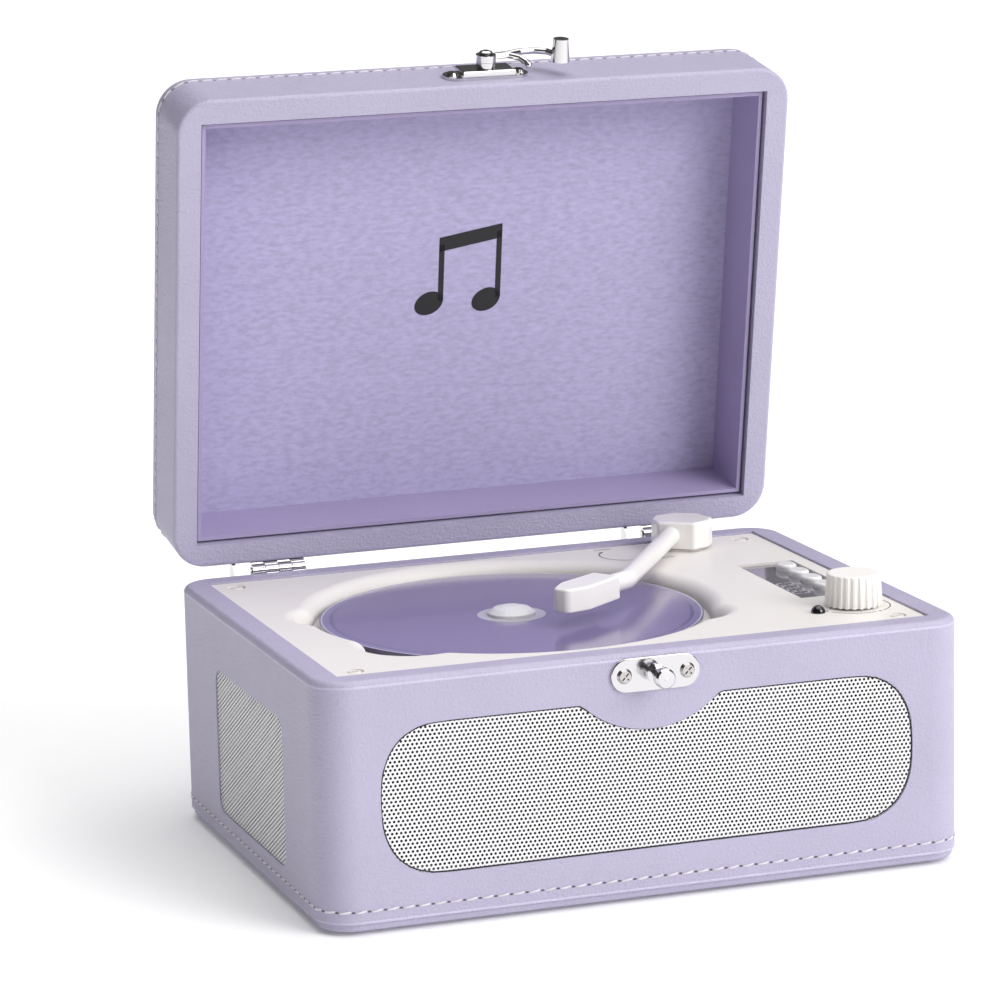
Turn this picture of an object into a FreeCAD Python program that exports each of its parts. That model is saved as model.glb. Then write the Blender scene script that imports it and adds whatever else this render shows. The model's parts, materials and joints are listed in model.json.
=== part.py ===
import FreeCAD, Part
import math
import os

import Sketcher
from FreeCAD import Placement, Rotation, Vector

# A suitcase-style disc player shaped like a turntable: a leatherette case with a
# loose-hinged lid, a white deck with a disc well, a swinging tonearm lever, a
# volume knob, four buttons, loudspeakers and a laser disc mechanism.
# Frame: origin at the centre of the case's underside, +X to the player's right,
# +Y to its back, +Z up. Millimetres. The lid is drawn shut and then turned open.

os.makedirs("parts", exist_ok=True)
doc = FreeCAD.newDocument("record_player")

DIMENSIONS = {
    # case
    "case_width": 206.0,
    "case_depth": 156.0,
    "case_height": 75.6,
    "case_wall": 8.4,
    "corner_radius": 11.2,
    "rim_radius": 2.0,
    "floor_thick": 2.4,
    "floor_inset": 0.8,
    "label_radius": 28.0,
    "foot_height": 1.2,
    "foot_radius": 6.0,
    "post_size": 12.0,
    "post_x": 87.0,
    "post_y": 62.6,
    # speaker grilles
    "grille_half": 85.0,
    "grille_low": 15.3,
    "grille_top": 61.3,
    "grille_end": 20.5,
    "notch_z": 83.0,
    "notch_radius": 31.0,
    "notch_blend": 3.0,
    "grille_thick": 0.8,
    "grille_recess": 0.5,
    "grille_gap": 0.25,
    "side_width": 73.0,
    "side_height": 46.0,
    "side_y": -2.7,
    "side_z": 33.4,
    "side_radius": 5.0,
    # deck and disc
    "deck_drop": 0.7,
    "deck_thick": 2.2,
    "deck_gap": 0.2,
    "disc_x": -15.4,
    "disc_y": 1.8,
    "disc_radius": 60.0,
    "disc_hole": 7.5,
    "disc_thick": 1.2,
    "disc_top": 71.8,
    "well_radius": 62.0,
    "well_flare": 4.8,
    "scoop_blend": 8.0,
    "well_floor": 69.2,
    "well_wall": 2.4,
    "well_skin": 1.6,
    "spindle_hole": 17.0,
    # display, buttons, knob
    "window_x": 79.7,
    "window_y": -1.8,
    "window_width": 19.4,
    "window_length": 53.0,
    "window_depth": 1.7,
    "lens_thick": 0.9,
    "button_x": 83.6,
    "button_y": 15.6,
    "button_pitch": 10.2,
    "button_half_x": 3.2,
    "button_half_y": 4.1,
    "button_top": 76.3,
    "knob_x": 80.5,
    "knob_y": -44.6,
    "knob_radius": 9.0,
    "knob_top_radius": 8.3,
    "knob_low": 75.5,
    "knob_high": 85.5,
    "sensor_x": 66.6,
    "sensor_y": -49.1,
    "sensor_radius": 2.3,
    # tonearm
    "arm_x": 64.8,
    "arm_y": 59.0,
    "arm_low": 75.9,
    "arm_high": 84.9,
    "arm_tube_radius": 3.0,
    "arm_shaft_radius": 3.0,
    "head_low": 76.7,
    "head_high": 84.2,
    # disc mechanism
    "rod_spread": 16.0,
    "rod_radius": 1.5,
    "rod_z": 63.2,
    "sled_start": 23.0,
        "gear_module": 0.8,
    "gear_teeth": 16.0,
    "chassis_z": 56.8,
    # lid
    "lid_height": 28.2,
    "lid_wall": 7.7,
    "lid_depth": 23.6,
    "lid_gap": 0.2,
    "lid_open": 80.0,
    "panel_thick": 1.5,
    "liner_gap": 0.8,
    "liner_thick": 1.2,
    "liner_recess": 2.2,
    # hardware
    "hinge_y": 80.7,
    "hinge_z": 75.7,
    "hinge_spread": 68.0,
    "barrel_radius": 2.2,
    "hinge_pin_radius": 1.2,
    "knuckle_pitch": 4.5,
    "leaf_thick": 0.8,
    "hardware_x": 1.2,
    "catch_z": 69.0,
    "plate_half": 8.9,
    "plate_radius": 5.2,
    "latch_rise": 10.0,
    "latch_radius": 4.7,
    # rear sockets
    "socket_x": -35.0,
    "socket_z": 28.0,
    "running_gap": 0.05,
}

sheet = doc.addObject("Spreadsheet::Sheet", "Dims")
for row, (alias, size) in enumerate(DIMENSIONS.items(), start=1):
    sheet.set(f"A{row}", alias)
    sheet.set(f"B{row}", str(size))
    sheet.setAlias(f"B{row}", alias)
doc.recompute()


def dim(alias):
    """A driving dimension's value, read back from the sheet."""
    return float(sheet.get(alias))


def value(expression):
    """The number that an expression of the sheet's cells comes to."""
    answer = sheet.evalExpression(str(expression))
    return float(getattr(answer, "Value", answer))


def cells(expression):
    """Spell out each alias in an expression as the sheet's cell."""
    words = str(expression)
    for alias in sorted(DIMENSIONS, key=len, reverse=True):
        words = words.replace(f"#{alias}", f"Dims.{alias}")
    return words


def bind(thing, **sizes):
    """Bind properties to expressions in which #alias is one of the sheet's cells."""
    for name, expression in sizes.items():
        thing.setExpression(name.replace("__", "."), cells(expression))


# ---------------------------------------------------------------- sketch helpers


def new_body(name):
    """An empty PartDesign body with the node's name as its label."""
    body = doc.addObject("PartDesign::Body", name)
    body.Label = name
    return body


def new_sketch(body, name, role, at=("0", "0", "0")):
    """A sketch on one of the body's origin planes, moved by three expressions."""
    sketch = body.newObject("Sketcher::SketchObject", name)
    plane = next(f for f in body.Origin.OriginFeatures if f.Role == role)
    sketch.AttachmentSupport = [(plane, "")]
    sketch.MapMode = "FlatFace"
    for axis, expression in zip("xyz", at):
        if str(expression) != "0":
            sketch.setExpression(f"AttachmentOffset.Base.{axis}", cells(expression))
    return sketch


def fix(sketch, kind, *where, size=None):
    """Add a constraint; with a size, bind it to that expression."""
    if size is None:
        return sketch.addConstraint(Sketcher.Constraint(kind, *where))
    index = sketch.addConstraint(
        Sketcher.Constraint(kind, *where, value(cells(size)))
    )
    sketch.setExpression(f"Constraints[{index}]", cells(size))
    return index


def rectangle(sketch, width, height):
    """A rectangle centred on the sketch's origin."""
    half_w = value(cells(width)) / 2
    half_h = value(cells(height)) / 2
    ends = [(-half_w, -half_h), (half_w, -half_h), (half_w, half_h), (-half_w, half_h)]
    points = [Vector(x, y, 0) for x, y in ends]
    for i in range(4):
        sketch.addGeometry(Part.LineSegment(points[i], points[(i + 1) % 4]))
    for i in range(4):
        fix(sketch, "Coincident", i, 2, (i + 1) % 4, 1)
    fix(sketch, "Horizontal", 0)
    fix(sketch, "Horizontal", 2)
    fix(sketch, "Vertical", 1)
    fix(sketch, "Vertical", 3)
    fix(sketch, "Symmetric", 0, 1, 1, 2, -1, 1)
    fix(sketch, "DistanceX", 0, 1, 0, 2, size=width)
    fix(sketch, "DistanceY", 1, 1, 1, 2, size=height)


def circle(sketch, radius):
    """A circle on the sketch's origin."""
    size = value(cells(radius))
    index = sketch.addGeometry(Part.Circle(Vector(0, 0, 0), Vector(0, 0, 1), size))
    fix(sketch, "Coincident", index, 3, -1, 1)
    fix(sketch, "Radius", index, size=radius)


def polygon(sketch, corners):
    """A closed outline whose corners are pairs of expressions."""
    spots = [(value(cells(x)), value(cells(y))) for x, y in corners]
    count = len(spots)
    for i in range(count):
        start = Vector(*spots[i], 0)
        end = Vector(*spots[(i + 1) % count], 0)
        sketch.addGeometry(Part.LineSegment(start, end))
    for i in range(count):
        fix(sketch, "Coincident", i, 2, (i + 1) % count, 1)
    for i, (x, y) in enumerate(corners):
        if abs(spots[i][0]) < 1e-9:
            fix(sketch, "PointOnObject", i, 1, -2)
        else:
            fix(sketch, "DistanceX", -1, 1, i, 1, size=x)
        if abs(spots[i][1]) < 1e-9:
            fix(sketch, "PointOnObject", i, 1, -1)
        else:
            fix(sketch, "DistanceY", -1, 1, i, 1, size=y)


def pad(body, sketch, length, name="Pad"):
    """Raise a sketch along its normal."""
    feature = body.newObject("PartDesign::Pad", f"{body.Name}_{name}")
    feature.Profile = sketch
    bind(feature, Length=length)
    sketch.Visibility = False
    return feature


def pocket(body, sketch, depth, name="Pocket", both=False):
    """Cut a sketch into the body, and turn the cut over if it missed."""
    doc.recompute()
    before = body.Shape.Volume
    feature = body.newObject("PartDesign::Pocket", f"{body.Name}_{name}")
    feature.Profile = sketch
    bind(feature, Length=depth)
    if both:
        feature.Midplane = True
    doc.recompute()
    if body.Shape.isNull() or body.Shape.Volume > before - 1e-3:
        feature.Reversed = True
        doc.recompute()
    if body.Shape.Volume > before - 1e-3:
        raise ValueError(f"{feature.Name} cuts nothing")
    return feature


def revolve(body, sketch, axis, name="Revolution"):
    """Turn a sketch once round its own H_Axis or V_Axis."""
    feature = body.newObject("PartDesign::Revolution", f"{body.Name}_{name}")
    feature.Profile = sketch
    feature.ReferenceAxis = (sketch, [axis])
    feature.Angle = 360
    return feature


def soften(body, radius, test, name="Fillet", kind="Fillet"):
    """Fillet or chamfer the edges of the body's tip that pass a test."""
    doc.recompute()
    base = body.Tip
    found = [f"Edge{i + 1}" for i, e in enumerate(base.Shape.Edges) if test(e)]
    feature = body.newObject(f"PartDesign::{kind}", f"{body.Name}_{name}")
    feature.Base = (base, found)
    bind(feature, **{"Radius" if kind == "Fillet" else "Size": radius})
    return feature


def upright(edge):
    """Whether an edge is straight and vertical."""
    box = edge.BoundBox
    return box.XLength < 1e-6 and box.YLength < 1e-6


def level_at(z):
    """A test for edges that lie in the plane at height z."""
    return lambda edge: abs(edge.BoundBox.ZMin - z) < 1e-5 and abs(edge.BoundBox.ZMax - z) < 1e-5


# ------------------------------------------------------------ primitive helpers


def feature(name, shape):
    """A Part::Feature that holds a shape made with Part's own functions."""
    thing = doc.addObject("Part::Feature", name)
    thing.Label = name
    thing.Shape = shape
    return thing


def block(name, size, low):
    """A Part::Box given by three size and three lowest-corner expressions."""
    thing = doc.addObject("Part::Box", name)
    thing.Label = name
    bind(thing, Length=size[0], Width=size[1], Height=size[2])
    place(thing, low)
    return thing


def rod(name, radius, height, foot, turn=None):
    """A Part::Cylinder given by expressions, standing on its foot point."""
    thing = doc.addObject("Part::Cylinder", name)
    thing.Label = name
    bind(thing, Radius=radius, Height=height)
    if turn:
        thing.Placement.Rotation = turn
    place(thing, foot)
    return thing


def place(thing, at):
    """Bind an object's position to three expressions."""
    for axis, expression in zip("xyz", at):
        thing.setExpression(f"Placement.Base.{axis}", cells(expression))


def cut(name, base, *tools):
    """A Part::Cut of the base by all the tools."""
    tool = tools[0]
    if len(tools) > 1:
        tool = fuse(f"{name}_tools", *tools)
    thing = doc.addObject("Part::Cut", name)
    thing.Label = name
    thing.Base = base
    thing.Tool = tool
    return thing


def fuse(name, *pieces):
    """A Part::MultiFuse of the pieces."""
    thing = doc.addObject("Part::MultiFuse", name)
    thing.Label = name
    thing.Shapes = list(pieces)
    return thing


def group(name, *pieces):
    """A Part::Compound that keeps the pieces as separate solids."""
    thing = doc.addObject("Part::Compound", name)
    thing.Label = name
    thing.Links = list(pieces)
    return thing


def turned_profile(points, centre, axis):
    """The solid of a closed (radius, along) profile turned round an axis line."""
    axis = Vector(axis)
    side = Vector(1, 0, 0) if abs(axis.x) < 0.5 else Vector(0, 0, 1)
    corners = [centre + side * r + axis * a for r, a in points]
    face = Part.Face(Part.makePolygon(corners + corners[:1]))
    return face.revolve(centre, axis, 360)


def round_bar(points, radius):
    """A bar of round section along a broken line, with ball joints."""
    shape = Part.makeSphere(radius, points[0])
    for start, end in zip(points, points[1:]):
        run = end - start
        shape = shape.fuse(Part.makeCylinder(radius, run.Length, start, run))
        shape = shape.fuse(Part.makeSphere(radius, end))
    return shape.removeSplitter()


BACK = Rotation(Vector(1, 0, 0), -90)  # turns an upright cylinder to point along +Y

nodes = []


def keep(thing):
    """List an object as one of the model's nodes."""
    nodes.append(thing)
    return thing


# ------------------------------------------------------------------------ case


def superellipse_end(centre_x, centre_z, half_x, half_z, first, last):
    """A curve over one quarter of a superellipse of exponent 2.5."""
    power = 2 / 2.5
    points = []
    for step in range(9):
        angle = math.radians(first + (last - first) * step / 8)
        c, s = math.cos(angle), math.sin(angle)
        x = centre_x + half_x * math.copysign(abs(c) ** power, c)
        z = centre_z + half_z * math.copysign(abs(s) ** power, s)
        points.append(Vector(x, z, 0))
    along_start = Vector(-math.sin(math.radians(first)), math.cos(math.radians(first)), 0)
    along_end = Vector(-math.sin(math.radians(last)), math.cos(math.radians(last)), 0)
    curve = Part.BSplineCurve()
    curve.interpolate(Points=points, InitialTangent=along_start, FinalTangent=along_end)
    return curve


def grille_outline(gap):
    """The front grille's outline, X across and Z up, pulled in by a gap."""
    half_x = dim("grille_half") - gap
    low = dim("grille_low") + gap
    top = dim("grille_top") - gap
    straight = dim("grille_half") - dim("grille_end")
    notch_r = dim("notch_radius") + gap
    notch = Vector(0, dim("notch_z"), 0)
    blend_r = dim("notch_blend") - gap
    middle_z = (low + top) / 2
    blend_z = top - blend_r
    blend_x = math.sqrt((notch_r + blend_r) ** 2 - (notch.y - blend_z) ** 2)
    curves = []
    for side in (1, -1):
        centre = Vector(side * blend_x, blend_z, 0)
        meet = notch + (centre - notch) * (notch_r / (notch_r + blend_r))
        crown = Vector(side * blend_x, top, 0)
        lean = (crown - centre) + (meet - centre)
        middle = centre + lean * (blend_r / lean.Length)
        if side > 0:
            curves.append(Part.Arc(meet, middle, crown))
            curves.append(Part.LineSegment(crown, Vector(straight, top, 0)))
            right_meet = meet
        else:
            last_line = Part.LineSegment(Vector(-straight, top, 0), crown)
            last_blend = Part.Arc(crown, middle, meet)
            left_meet = meet
    wide, tall = half_x - straight, (top - low) / 2
    curves.append(superellipse_end(straight, middle_z, wide, tall, 90, 0))
    curves.append(superellipse_end(straight, middle_z, wide, tall, 0, -90))
    curves.append(Part.LineSegment(Vector(straight, low, 0), Vector(-straight, low, 0)))
    curves.append(superellipse_end(-straight, middle_z, wide, tall, -90, -180))
    curves.append(superellipse_end(-straight, middle_z, wide, tall, 180, 90))
    curves.append(last_line)
    curves.append(last_blend)
    curves.append(Part.Arc(left_meet, notch - Vector(0, notch_r, 0), right_meet))
    return curves


def rounded_outline(width, height, radius):
    """A rectangle with round corners, centred on the origin."""
    x, y = width / 2, height / 2
    k = radius * (1 - math.sqrt(0.5))
    curves = []
    for sx, sy in ((1, 1), (-1, 1), (-1, -1), (1, -1)):
        a = Vector(sx * x, sy * (y - radius), 0)
        b = Vector(sx * (x - radius), sy * y, 0)
        m = Vector(sx * (x - k), sy * (y - k), 0)
        curves.append(Part.Arc(a, m, b) if sx * sy > 0 else Part.Arc(b, m, a))
    ends = [(c.StartPoint, c.EndPoint) for c in curves]
    for i in range(4):
        start, end = ends[i][1], ends[(i + 1) % 4][0]
        curves.insert(2 * i + 1, Part.LineSegment(start, end))
    return curves


def outer_rim(edge, width, depth):
    """Whether an edge runs round the outside of a width by depth block."""
    box = edge.BoundBox
    far_x = max(abs(box.XMin), abs(box.XMax))
    far_y = max(abs(box.YMin), abs(box.YMax))
    return far_x > width / 2 - 0.01 or far_y > depth / 2 - 0.01


def case_shell():
    body = new_body("case_shell")
    base = new_sketch(body, "case_outline", "XY_Plane", ("0", "0", "#floor_thick + 0.1"))
    rectangle(base, "#case_width", "#case_depth")
    pad(body, base, "#case_height - #floor_thick - 0.1")
    soften(body, "#corner_radius", upright, "Corners")
    hollow = new_sketch(body, "case_hollow", "XY_Plane", ("0", "0", "#case_height"))
    rectangle(hollow, "#case_width - 2 * #case_wall", "#case_depth - 2 * #case_wall")
    pocket(body, hollow, "#case_height", "Hollow")
    top = dim("case_height")
    wide, deep = dim("case_width"), dim("case_depth")
    soften(
        body,
        "#rim_radius",
        lambda e: level_at(top)(e) and outer_rim(e, wide, deep),
        "Rim",
    )
    front = new_sketch(body, "front_window", "XZ_Plane", ("0", "0", "#case_depth / 2"))
    for curve in grille_outline(0.0):
        front.addGeometry(curve)
    pocket(body, front, "#case_wall + 1", "FrontWindow")
    for side, name in ((-1, "Left"), (1, "Right")):
        offset = ("#side_y", "#side_z", f"{side} * #case_width / 2")
        window = new_sketch(body, f"{name}_window", "YZ_Plane", offset)
        outline = rounded_outline(dim("side_width"), dim("side_height"), dim("side_radius"))
        for curve in outline:
            window.addGeometry(curve)
        pocket(body, window, "2 * #case_wall + 2", f"{name}Window", both=True)
    back = new_sketch(
        body, "socket_window", "XZ_Plane", ("#socket_x", "#socket_z", "-#case_depth / 2")
    )
    rectangle(back, "56", "20")
    pocket(body, back, "2 * #case_wall + 2", "SocketWindow", both=True)
    return keep(body)


def bottom_panel():
    body = new_body("bottom_panel")
    base = new_sketch(body, "panel_outline", "XY_Plane")
    rectangle(base, "#case_width - 2 * #floor_inset", "#case_depth - 2 * #floor_inset")
    pad(body, base, "#floor_thick")
    soften(body, "#corner_radius - #floor_inset", upright, "Corners")
    wide = dim("case_width") - 2 * dim("floor_inset")
    deep = dim("case_depth") - 2 * dim("floor_inset")
    soften(
        body,
        "1.2",
        lambda e: level_at(0)(e) and outer_rim(e, wide, deep),
        "Underside",
    )
    groove = new_sketch(body, "label_groove", "XY_Plane")
    circle(groove, "#label_radius")
    circle(groove, "#label_radius - 0.8")
    pocket(body, groove, "0.5", "LabelGroove")
    hole = new_sketch(body, "screw_hole", "XY_Plane", ("-#post_x", "-#post_y", "0"))
    circle(hole, "1.7")
    first = pocket(body, hole, "3 * #floor_thick", "ScrewHole", both=True)
    pattern = body.newObject("PartDesign::MultiTransform", "bottom_panel_Holes")
    pattern.Originals = [first]
    along = body.newObject("PartDesign::LinearPattern", "holes_across")
    along.Direction = (next(f for f in body.Origin.OriginFeatures if f.Role == "X_Axis"), [""])
    along.Occurrences = 2
    bind(along, Length="2 * #post_x")
    back = body.newObject("PartDesign::LinearPattern", "holes_back")
    back.Direction = (next(f for f in body.Origin.OriginFeatures if f.Role == "Y_Axis"), [""])
    back.Occurrences = 2
    bind(back, Length="2 * #post_y")
    pattern.Transformations = [along, back]
    body.Tip = pattern
    return keep(body)


def four(make, x, y):
    """Call make(index, x, y) for the four corners of a rectangle."""
    corners = [(sx, sy) for sx in ("-", "") for sy in ("-", "")]
    return [make(i, f"{sx}{x}", f"{sy}{y}") for i, (sx, sy) in enumerate(corners)]


def case_floor_parts():
    feet = four(
        lambda i, x, y: rod(
            f"foot_{i}", "#foot_radius", "#foot_height", (x, f"{y} + 0", "-#foot_height")
        ),
        "(#post_x - 9)",
        "(#post_y - 2)",
    )
    keep(group("rubber_feet", *feet))
    posts = four(
        lambda i, x, y: block(
            f"post_{i}",
            (
                "#post_size",
                "#post_size",
                "#case_height - #deck_drop - #deck_thick - #floor_thick - 0.2",
            ),
            (f"{x} - #post_size / 2", f"{y} - #post_size / 2", "#floor_thick + 0.1"),
        ),
        "(#post_x + 1.4)",
        "(#post_y + 0.8)",
    )
    keep(group("corner_posts", *posts))


def screw(foot, way, head_radius, shank_radius, length):
    """A cross-head screw whose head sits on the foot point and faces way."""
    head = Part.makeCone(head_radius, head_radius * 0.72, 1.0)
    shank = Part.makeCylinder(shank_radius, length, Vector(0, 0, -length))
    shape = head.fuse(shank)
    for turn in (0, 90):
        slot = Part.makeBox(head_radius * 1.2, 0.5, 0.6, Vector(-head_radius * 0.6, -0.25, 0.5))
        slot.rotate(Vector(0, 0, 0), Vector(0, 0, 1), turn + 45)
        shape = shape.cut(slot)
    shape.Placement = Placement(foot, Rotation(Vector(0, 0, 1), way))
    return shape


def floor_screws():
    shapes = []
    for sx in (-1, 1):
        for sy in (-1, 1):
            foot = Vector(sx * dim("post_x"), sy * dim("post_y"), 0)
            shapes.append(screw(foot, Vector(0, 0, -1), 2.8, 1.5, 9.0))
    keep(feature("bottom_screws", Part.makeCompound(shapes)))


def grilles():
    recess = dim("grille_recess")
    thick = dim("grille_thick")
    body = new_body("front_grille")
    offset = ("0", "0", "#case_depth / 2 - #grille_recess - #grille_thick")
    sketch = new_sketch(body, "grille_sheet", "XZ_Plane", offset)
    for curve in grille_outline(dim("grille_gap")):
        sketch.addGeometry(curve)
    pad(body, sketch, "#grille_thick")
    keep(body)
    gap = dim("grille_gap")
    for side, name in ((-1, "left_grille"), (1, "right_grille")):
        body = new_body(name)
        low = dim("case_width") / 2 - recess - (thick if side > 0 else 0)
        offset = ("#side_y", "#side_z", str(side * low))
        sketch = new_sketch(body, f"{name}_sheet", "YZ_Plane", offset)
        outline = rounded_outline(
            dim("side_width") - 2 * gap, dim("side_height") - 2 * gap, dim("side_radius") - gap
        )
        for curve in outline:
            sketch.addGeometry(curve)
        pad(body, sketch, "#grille_thick")
        keep(body)


def loudspeakers():
    inner = dim("case_depth") / 2 - dim("case_wall")
    board = block(
        "baffle_board",
        ("162", "3", "58"),
        ("-81", "-#case_depth / 2 + #case_wall + 0.1", "9.3"),
    )
    holes = [
        rod(f"baffle_hole_{i}", "21", "8", (x, "-#case_depth / 2 + #case_wall - 2", "38.3"), BACK)
        for i, x in enumerate(("-50", "50"))
    ]
    keep(cut("speaker_baffle", board, *holes))
    backing = [
        block(
            f"backing_{i}",
            ("2", "80", "52"),
            (x, "#side_y - 40", "#side_z - 26"),
        )
        for i, x in enumerate(
            ("-#case_width / 2 + #case_wall + 0.1", "#case_width / 2 - #case_wall - 2.1")
        )
    ]
    keep(group("side_backings", *backing))
    basket = [
        (21.2, 0), (26, 0), (26, 1.5), (21.5, 1.5), (15, 14), (15, 24), (3, 24), (3, 14),
        (13, 13), (20.4, 1.2),
    ]
    cone = [(19.9, 0.6), (20.4, 0.6), (20.4, 0.9), (9, 9), (0, 6.2), (0, 5.4), (8.6, 8.0)]
    baskets, cones = [], []
    for x in (-50, 50):
        face = Vector(x, -inner + 3.2, 38.3)
        baskets.append(turned_profile(basket, face, (0, 1, 0)))
        cones.append(turned_profile(cone, face, (0, 1, 0)))
    keep(feature("speaker_baskets", Part.makeCompound(baskets)))
    keep(feature("speaker_cones", Part.makeCompound(cones)))


# ------------------------------------------------------------------------ deck

SCOOPS = (  # finger recesses round the well: bearing in degrees, reach, radius
    (-141, 57.0, 14.0),
    (-32, 54.8, 12.0),
    (170, 54.8, 12.0),
)


def deck_panel():
    body = new_body("deck_panel")
    top = "#case_height - #deck_drop"
    plate = new_sketch(body, "deck_plate", "XY_Plane", ("0", "0", f"{top} - #deck_thick"))
    rectangle(
        plate,
        "#case_width - 2 * #case_wall - 2 * #deck_gap",
        "#case_depth - 2 * #case_wall - 2 * #deck_gap",
    )
    pad(body, plate, "#deck_thick")
    pan_low = "#well_floor - #well_skin"
    pan = new_sketch(body, "pan_outline", "XY_Plane", ("#disc_x", "#disc_y", pan_low))
    circle(pan, "#well_radius + #well_wall")
    pad(body, pan, f"{top} - #deck_thick - ({pan_low}) + 0.5", "Pan")
    for i, (bearing, reach, radius) in enumerate(SCOOPS):
        x = reach * math.cos(math.radians(bearing))
        y = reach * math.sin(math.radians(bearing))
        spot = (f"#disc_x + {x:.3f}", f"#disc_y + {y:.3f}", pan_low)
        boss = new_sketch(body, f"scoop_boss_{i}", "XY_Plane", spot)
        circle(boss, f"{radius} + #well_skin")
        pad(body, boss, f"{top} - #deck_thick - ({pan_low}) + 0.5", f"ScoopBoss{i}")
    for i, (x, y) in enumerate(((53, -34), (87, -34), (53, 47), (87, 47))):
        boss = new_sketch(body, f"board_boss_{i}", "XY_Plane", (str(x), str(y), "47.7"))
        circle(boss, "2.2")
        pad(body, boss, f"{top} - #deck_thick - 47.7 + 0.5", f"BoardBoss{i}")
    well = new_sketch(body, "well", "XY_Plane", ("#disc_x", "#disc_y", top))
    circle(well, "#well_radius")
    pocket(body, well, f"{top} - #well_floor", "Well")
    height = value(cells(top))
    for i, (bearing, reach, radius) in enumerate(SCOOPS):
        x = reach * math.cos(math.radians(bearing))
        y = reach * math.sin(math.radians(bearing))
        spot = (f"#disc_x + {x:.3f}", f"#disc_y + {y:.3f}", top)
        scoop = new_sketch(body, f"scoop_{i}", "XY_Plane", spot)
        circle(scoop, str(radius))
        pocket(body, scoop, f"{top} - #well_floor", f"Scoop{i}")

    def scoop_side(edge):
        return upright(edge) and abs(edge.BoundBox.ZMin - dim("well_floor")) < 1e-5

    def well_lip(edge):
        return level_at(height)(edge) and hasattr(edge.Curve, "Radius")

    soften(body, "#scoop_blend", scoop_side, "Blend")
    soften(body, "#well_flare", well_lip, "Flare")
    holes = {
        "Spindle": ("#disc_x", "#disc_y", "#spindle_hole"),
        "ArmShaft": ("#arm_x", "#arm_y", "5.0"),
        "Knob": ("#knob_x", "#knob_y", "3.9"),
        "Sensor": ("#sensor_x", "#sensor_y", "1.9"),
    }
    for name, (x, y, size) in holes.items():
        hole = new_sketch(body, f"hole_{name}", "XY_Plane", (x, y, top))
        circle(hole, size)
        pocket(body, hole, "12", f"{name}Hole")
    slot = new_sketch(body, "lens_slot", "XY_Plane", ("#disc_x", "#disc_y + 36", top))
    rectangle(slot, "16", "50")
    pocket(body, slot, "12", "LensSlot")
    window = new_sketch(body, "window_recess", "XY_Plane", ("#window_x", "#window_y", top))
    rectangle(window, "#window_width", "#window_length")
    pocket(body, window, "#window_depth", "Window")
    opening = new_sketch(body, "window_opening", "XY_Plane", ("#window_x", "#window_y", top))
    rectangle(opening, "#window_width - 1.6", "#window_length - 2")
    pocket(body, opening, "#deck_thick + 1", "WindowOpening")
    for name, size, depth in (("ScrewDimple", "2.9", "1.0"), ("ScrewHole", "1.5", "4")):
        hole = new_sketch(body, f"deck_{name}", "XY_Plane", ("-#post_x", "-#post_y", top))
        circle(hole, size)
        first = pocket(body, hole, depth, name)
        pattern = body.newObject("PartDesign::MultiTransform", f"deck_{name}s")
        pattern.Originals = [first]
        steps = []
        for axis, span in (("X_Axis", "2 * #post_x"), ("Y_Axis", "2 * #post_y")):
            step = body.newObject("PartDesign::LinearPattern", f"{name}_{axis}")
            line = next(f for f in body.Origin.OriginFeatures if f.Role == axis)
            step.Direction = (line, [""])
            step.Occurrences = 2
            bind(step, Length=span)
            steps.append(step)
        pattern.Transformations = steps
        body.Tip = pattern
    return keep(body)


def deck_screws():
    shapes = []
    for sx in (-1, 1):
        for sy in (-1, 1):
            z = dim("case_height") - dim("deck_drop") - 1.0
            foot = Vector(sx * dim("post_x"), sy * dim("post_y"), z)
            shapes.append(screw(foot, Vector(0, 0, 1), 2.5, 1.3, 9.0))
    keep(feature("deck_screws", Part.makeCompound(shapes)))


def ellipse_prism(name, half_x, half_y, x, y, low, height):
    """An upright elliptic prism bound to expressions."""
    shape = doc.addObject("Part::Ellipse", f"{name}_outline")
    bind(shape, MajorRadius=half_y, MinorRadius=half_x)
    shape.Placement.Rotation = Rotation(Vector(0, 0, 1), 90)
    place(shape, (x, y, low))
    solid = doc.addObject("Part::Extrusion", name)
    solid.Base = shape
    solid.DirMode = "Custom"
    solid.Dir = Vector(0, 0, 1)
    bind(solid, LengthFwd=height)
    solid.Solid = True
    return solid


def button_spot(index):
    """The expressions for the centre of one of the four buttons."""
    return "#button_x", f"#button_y - {index} * #button_pitch"


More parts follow.
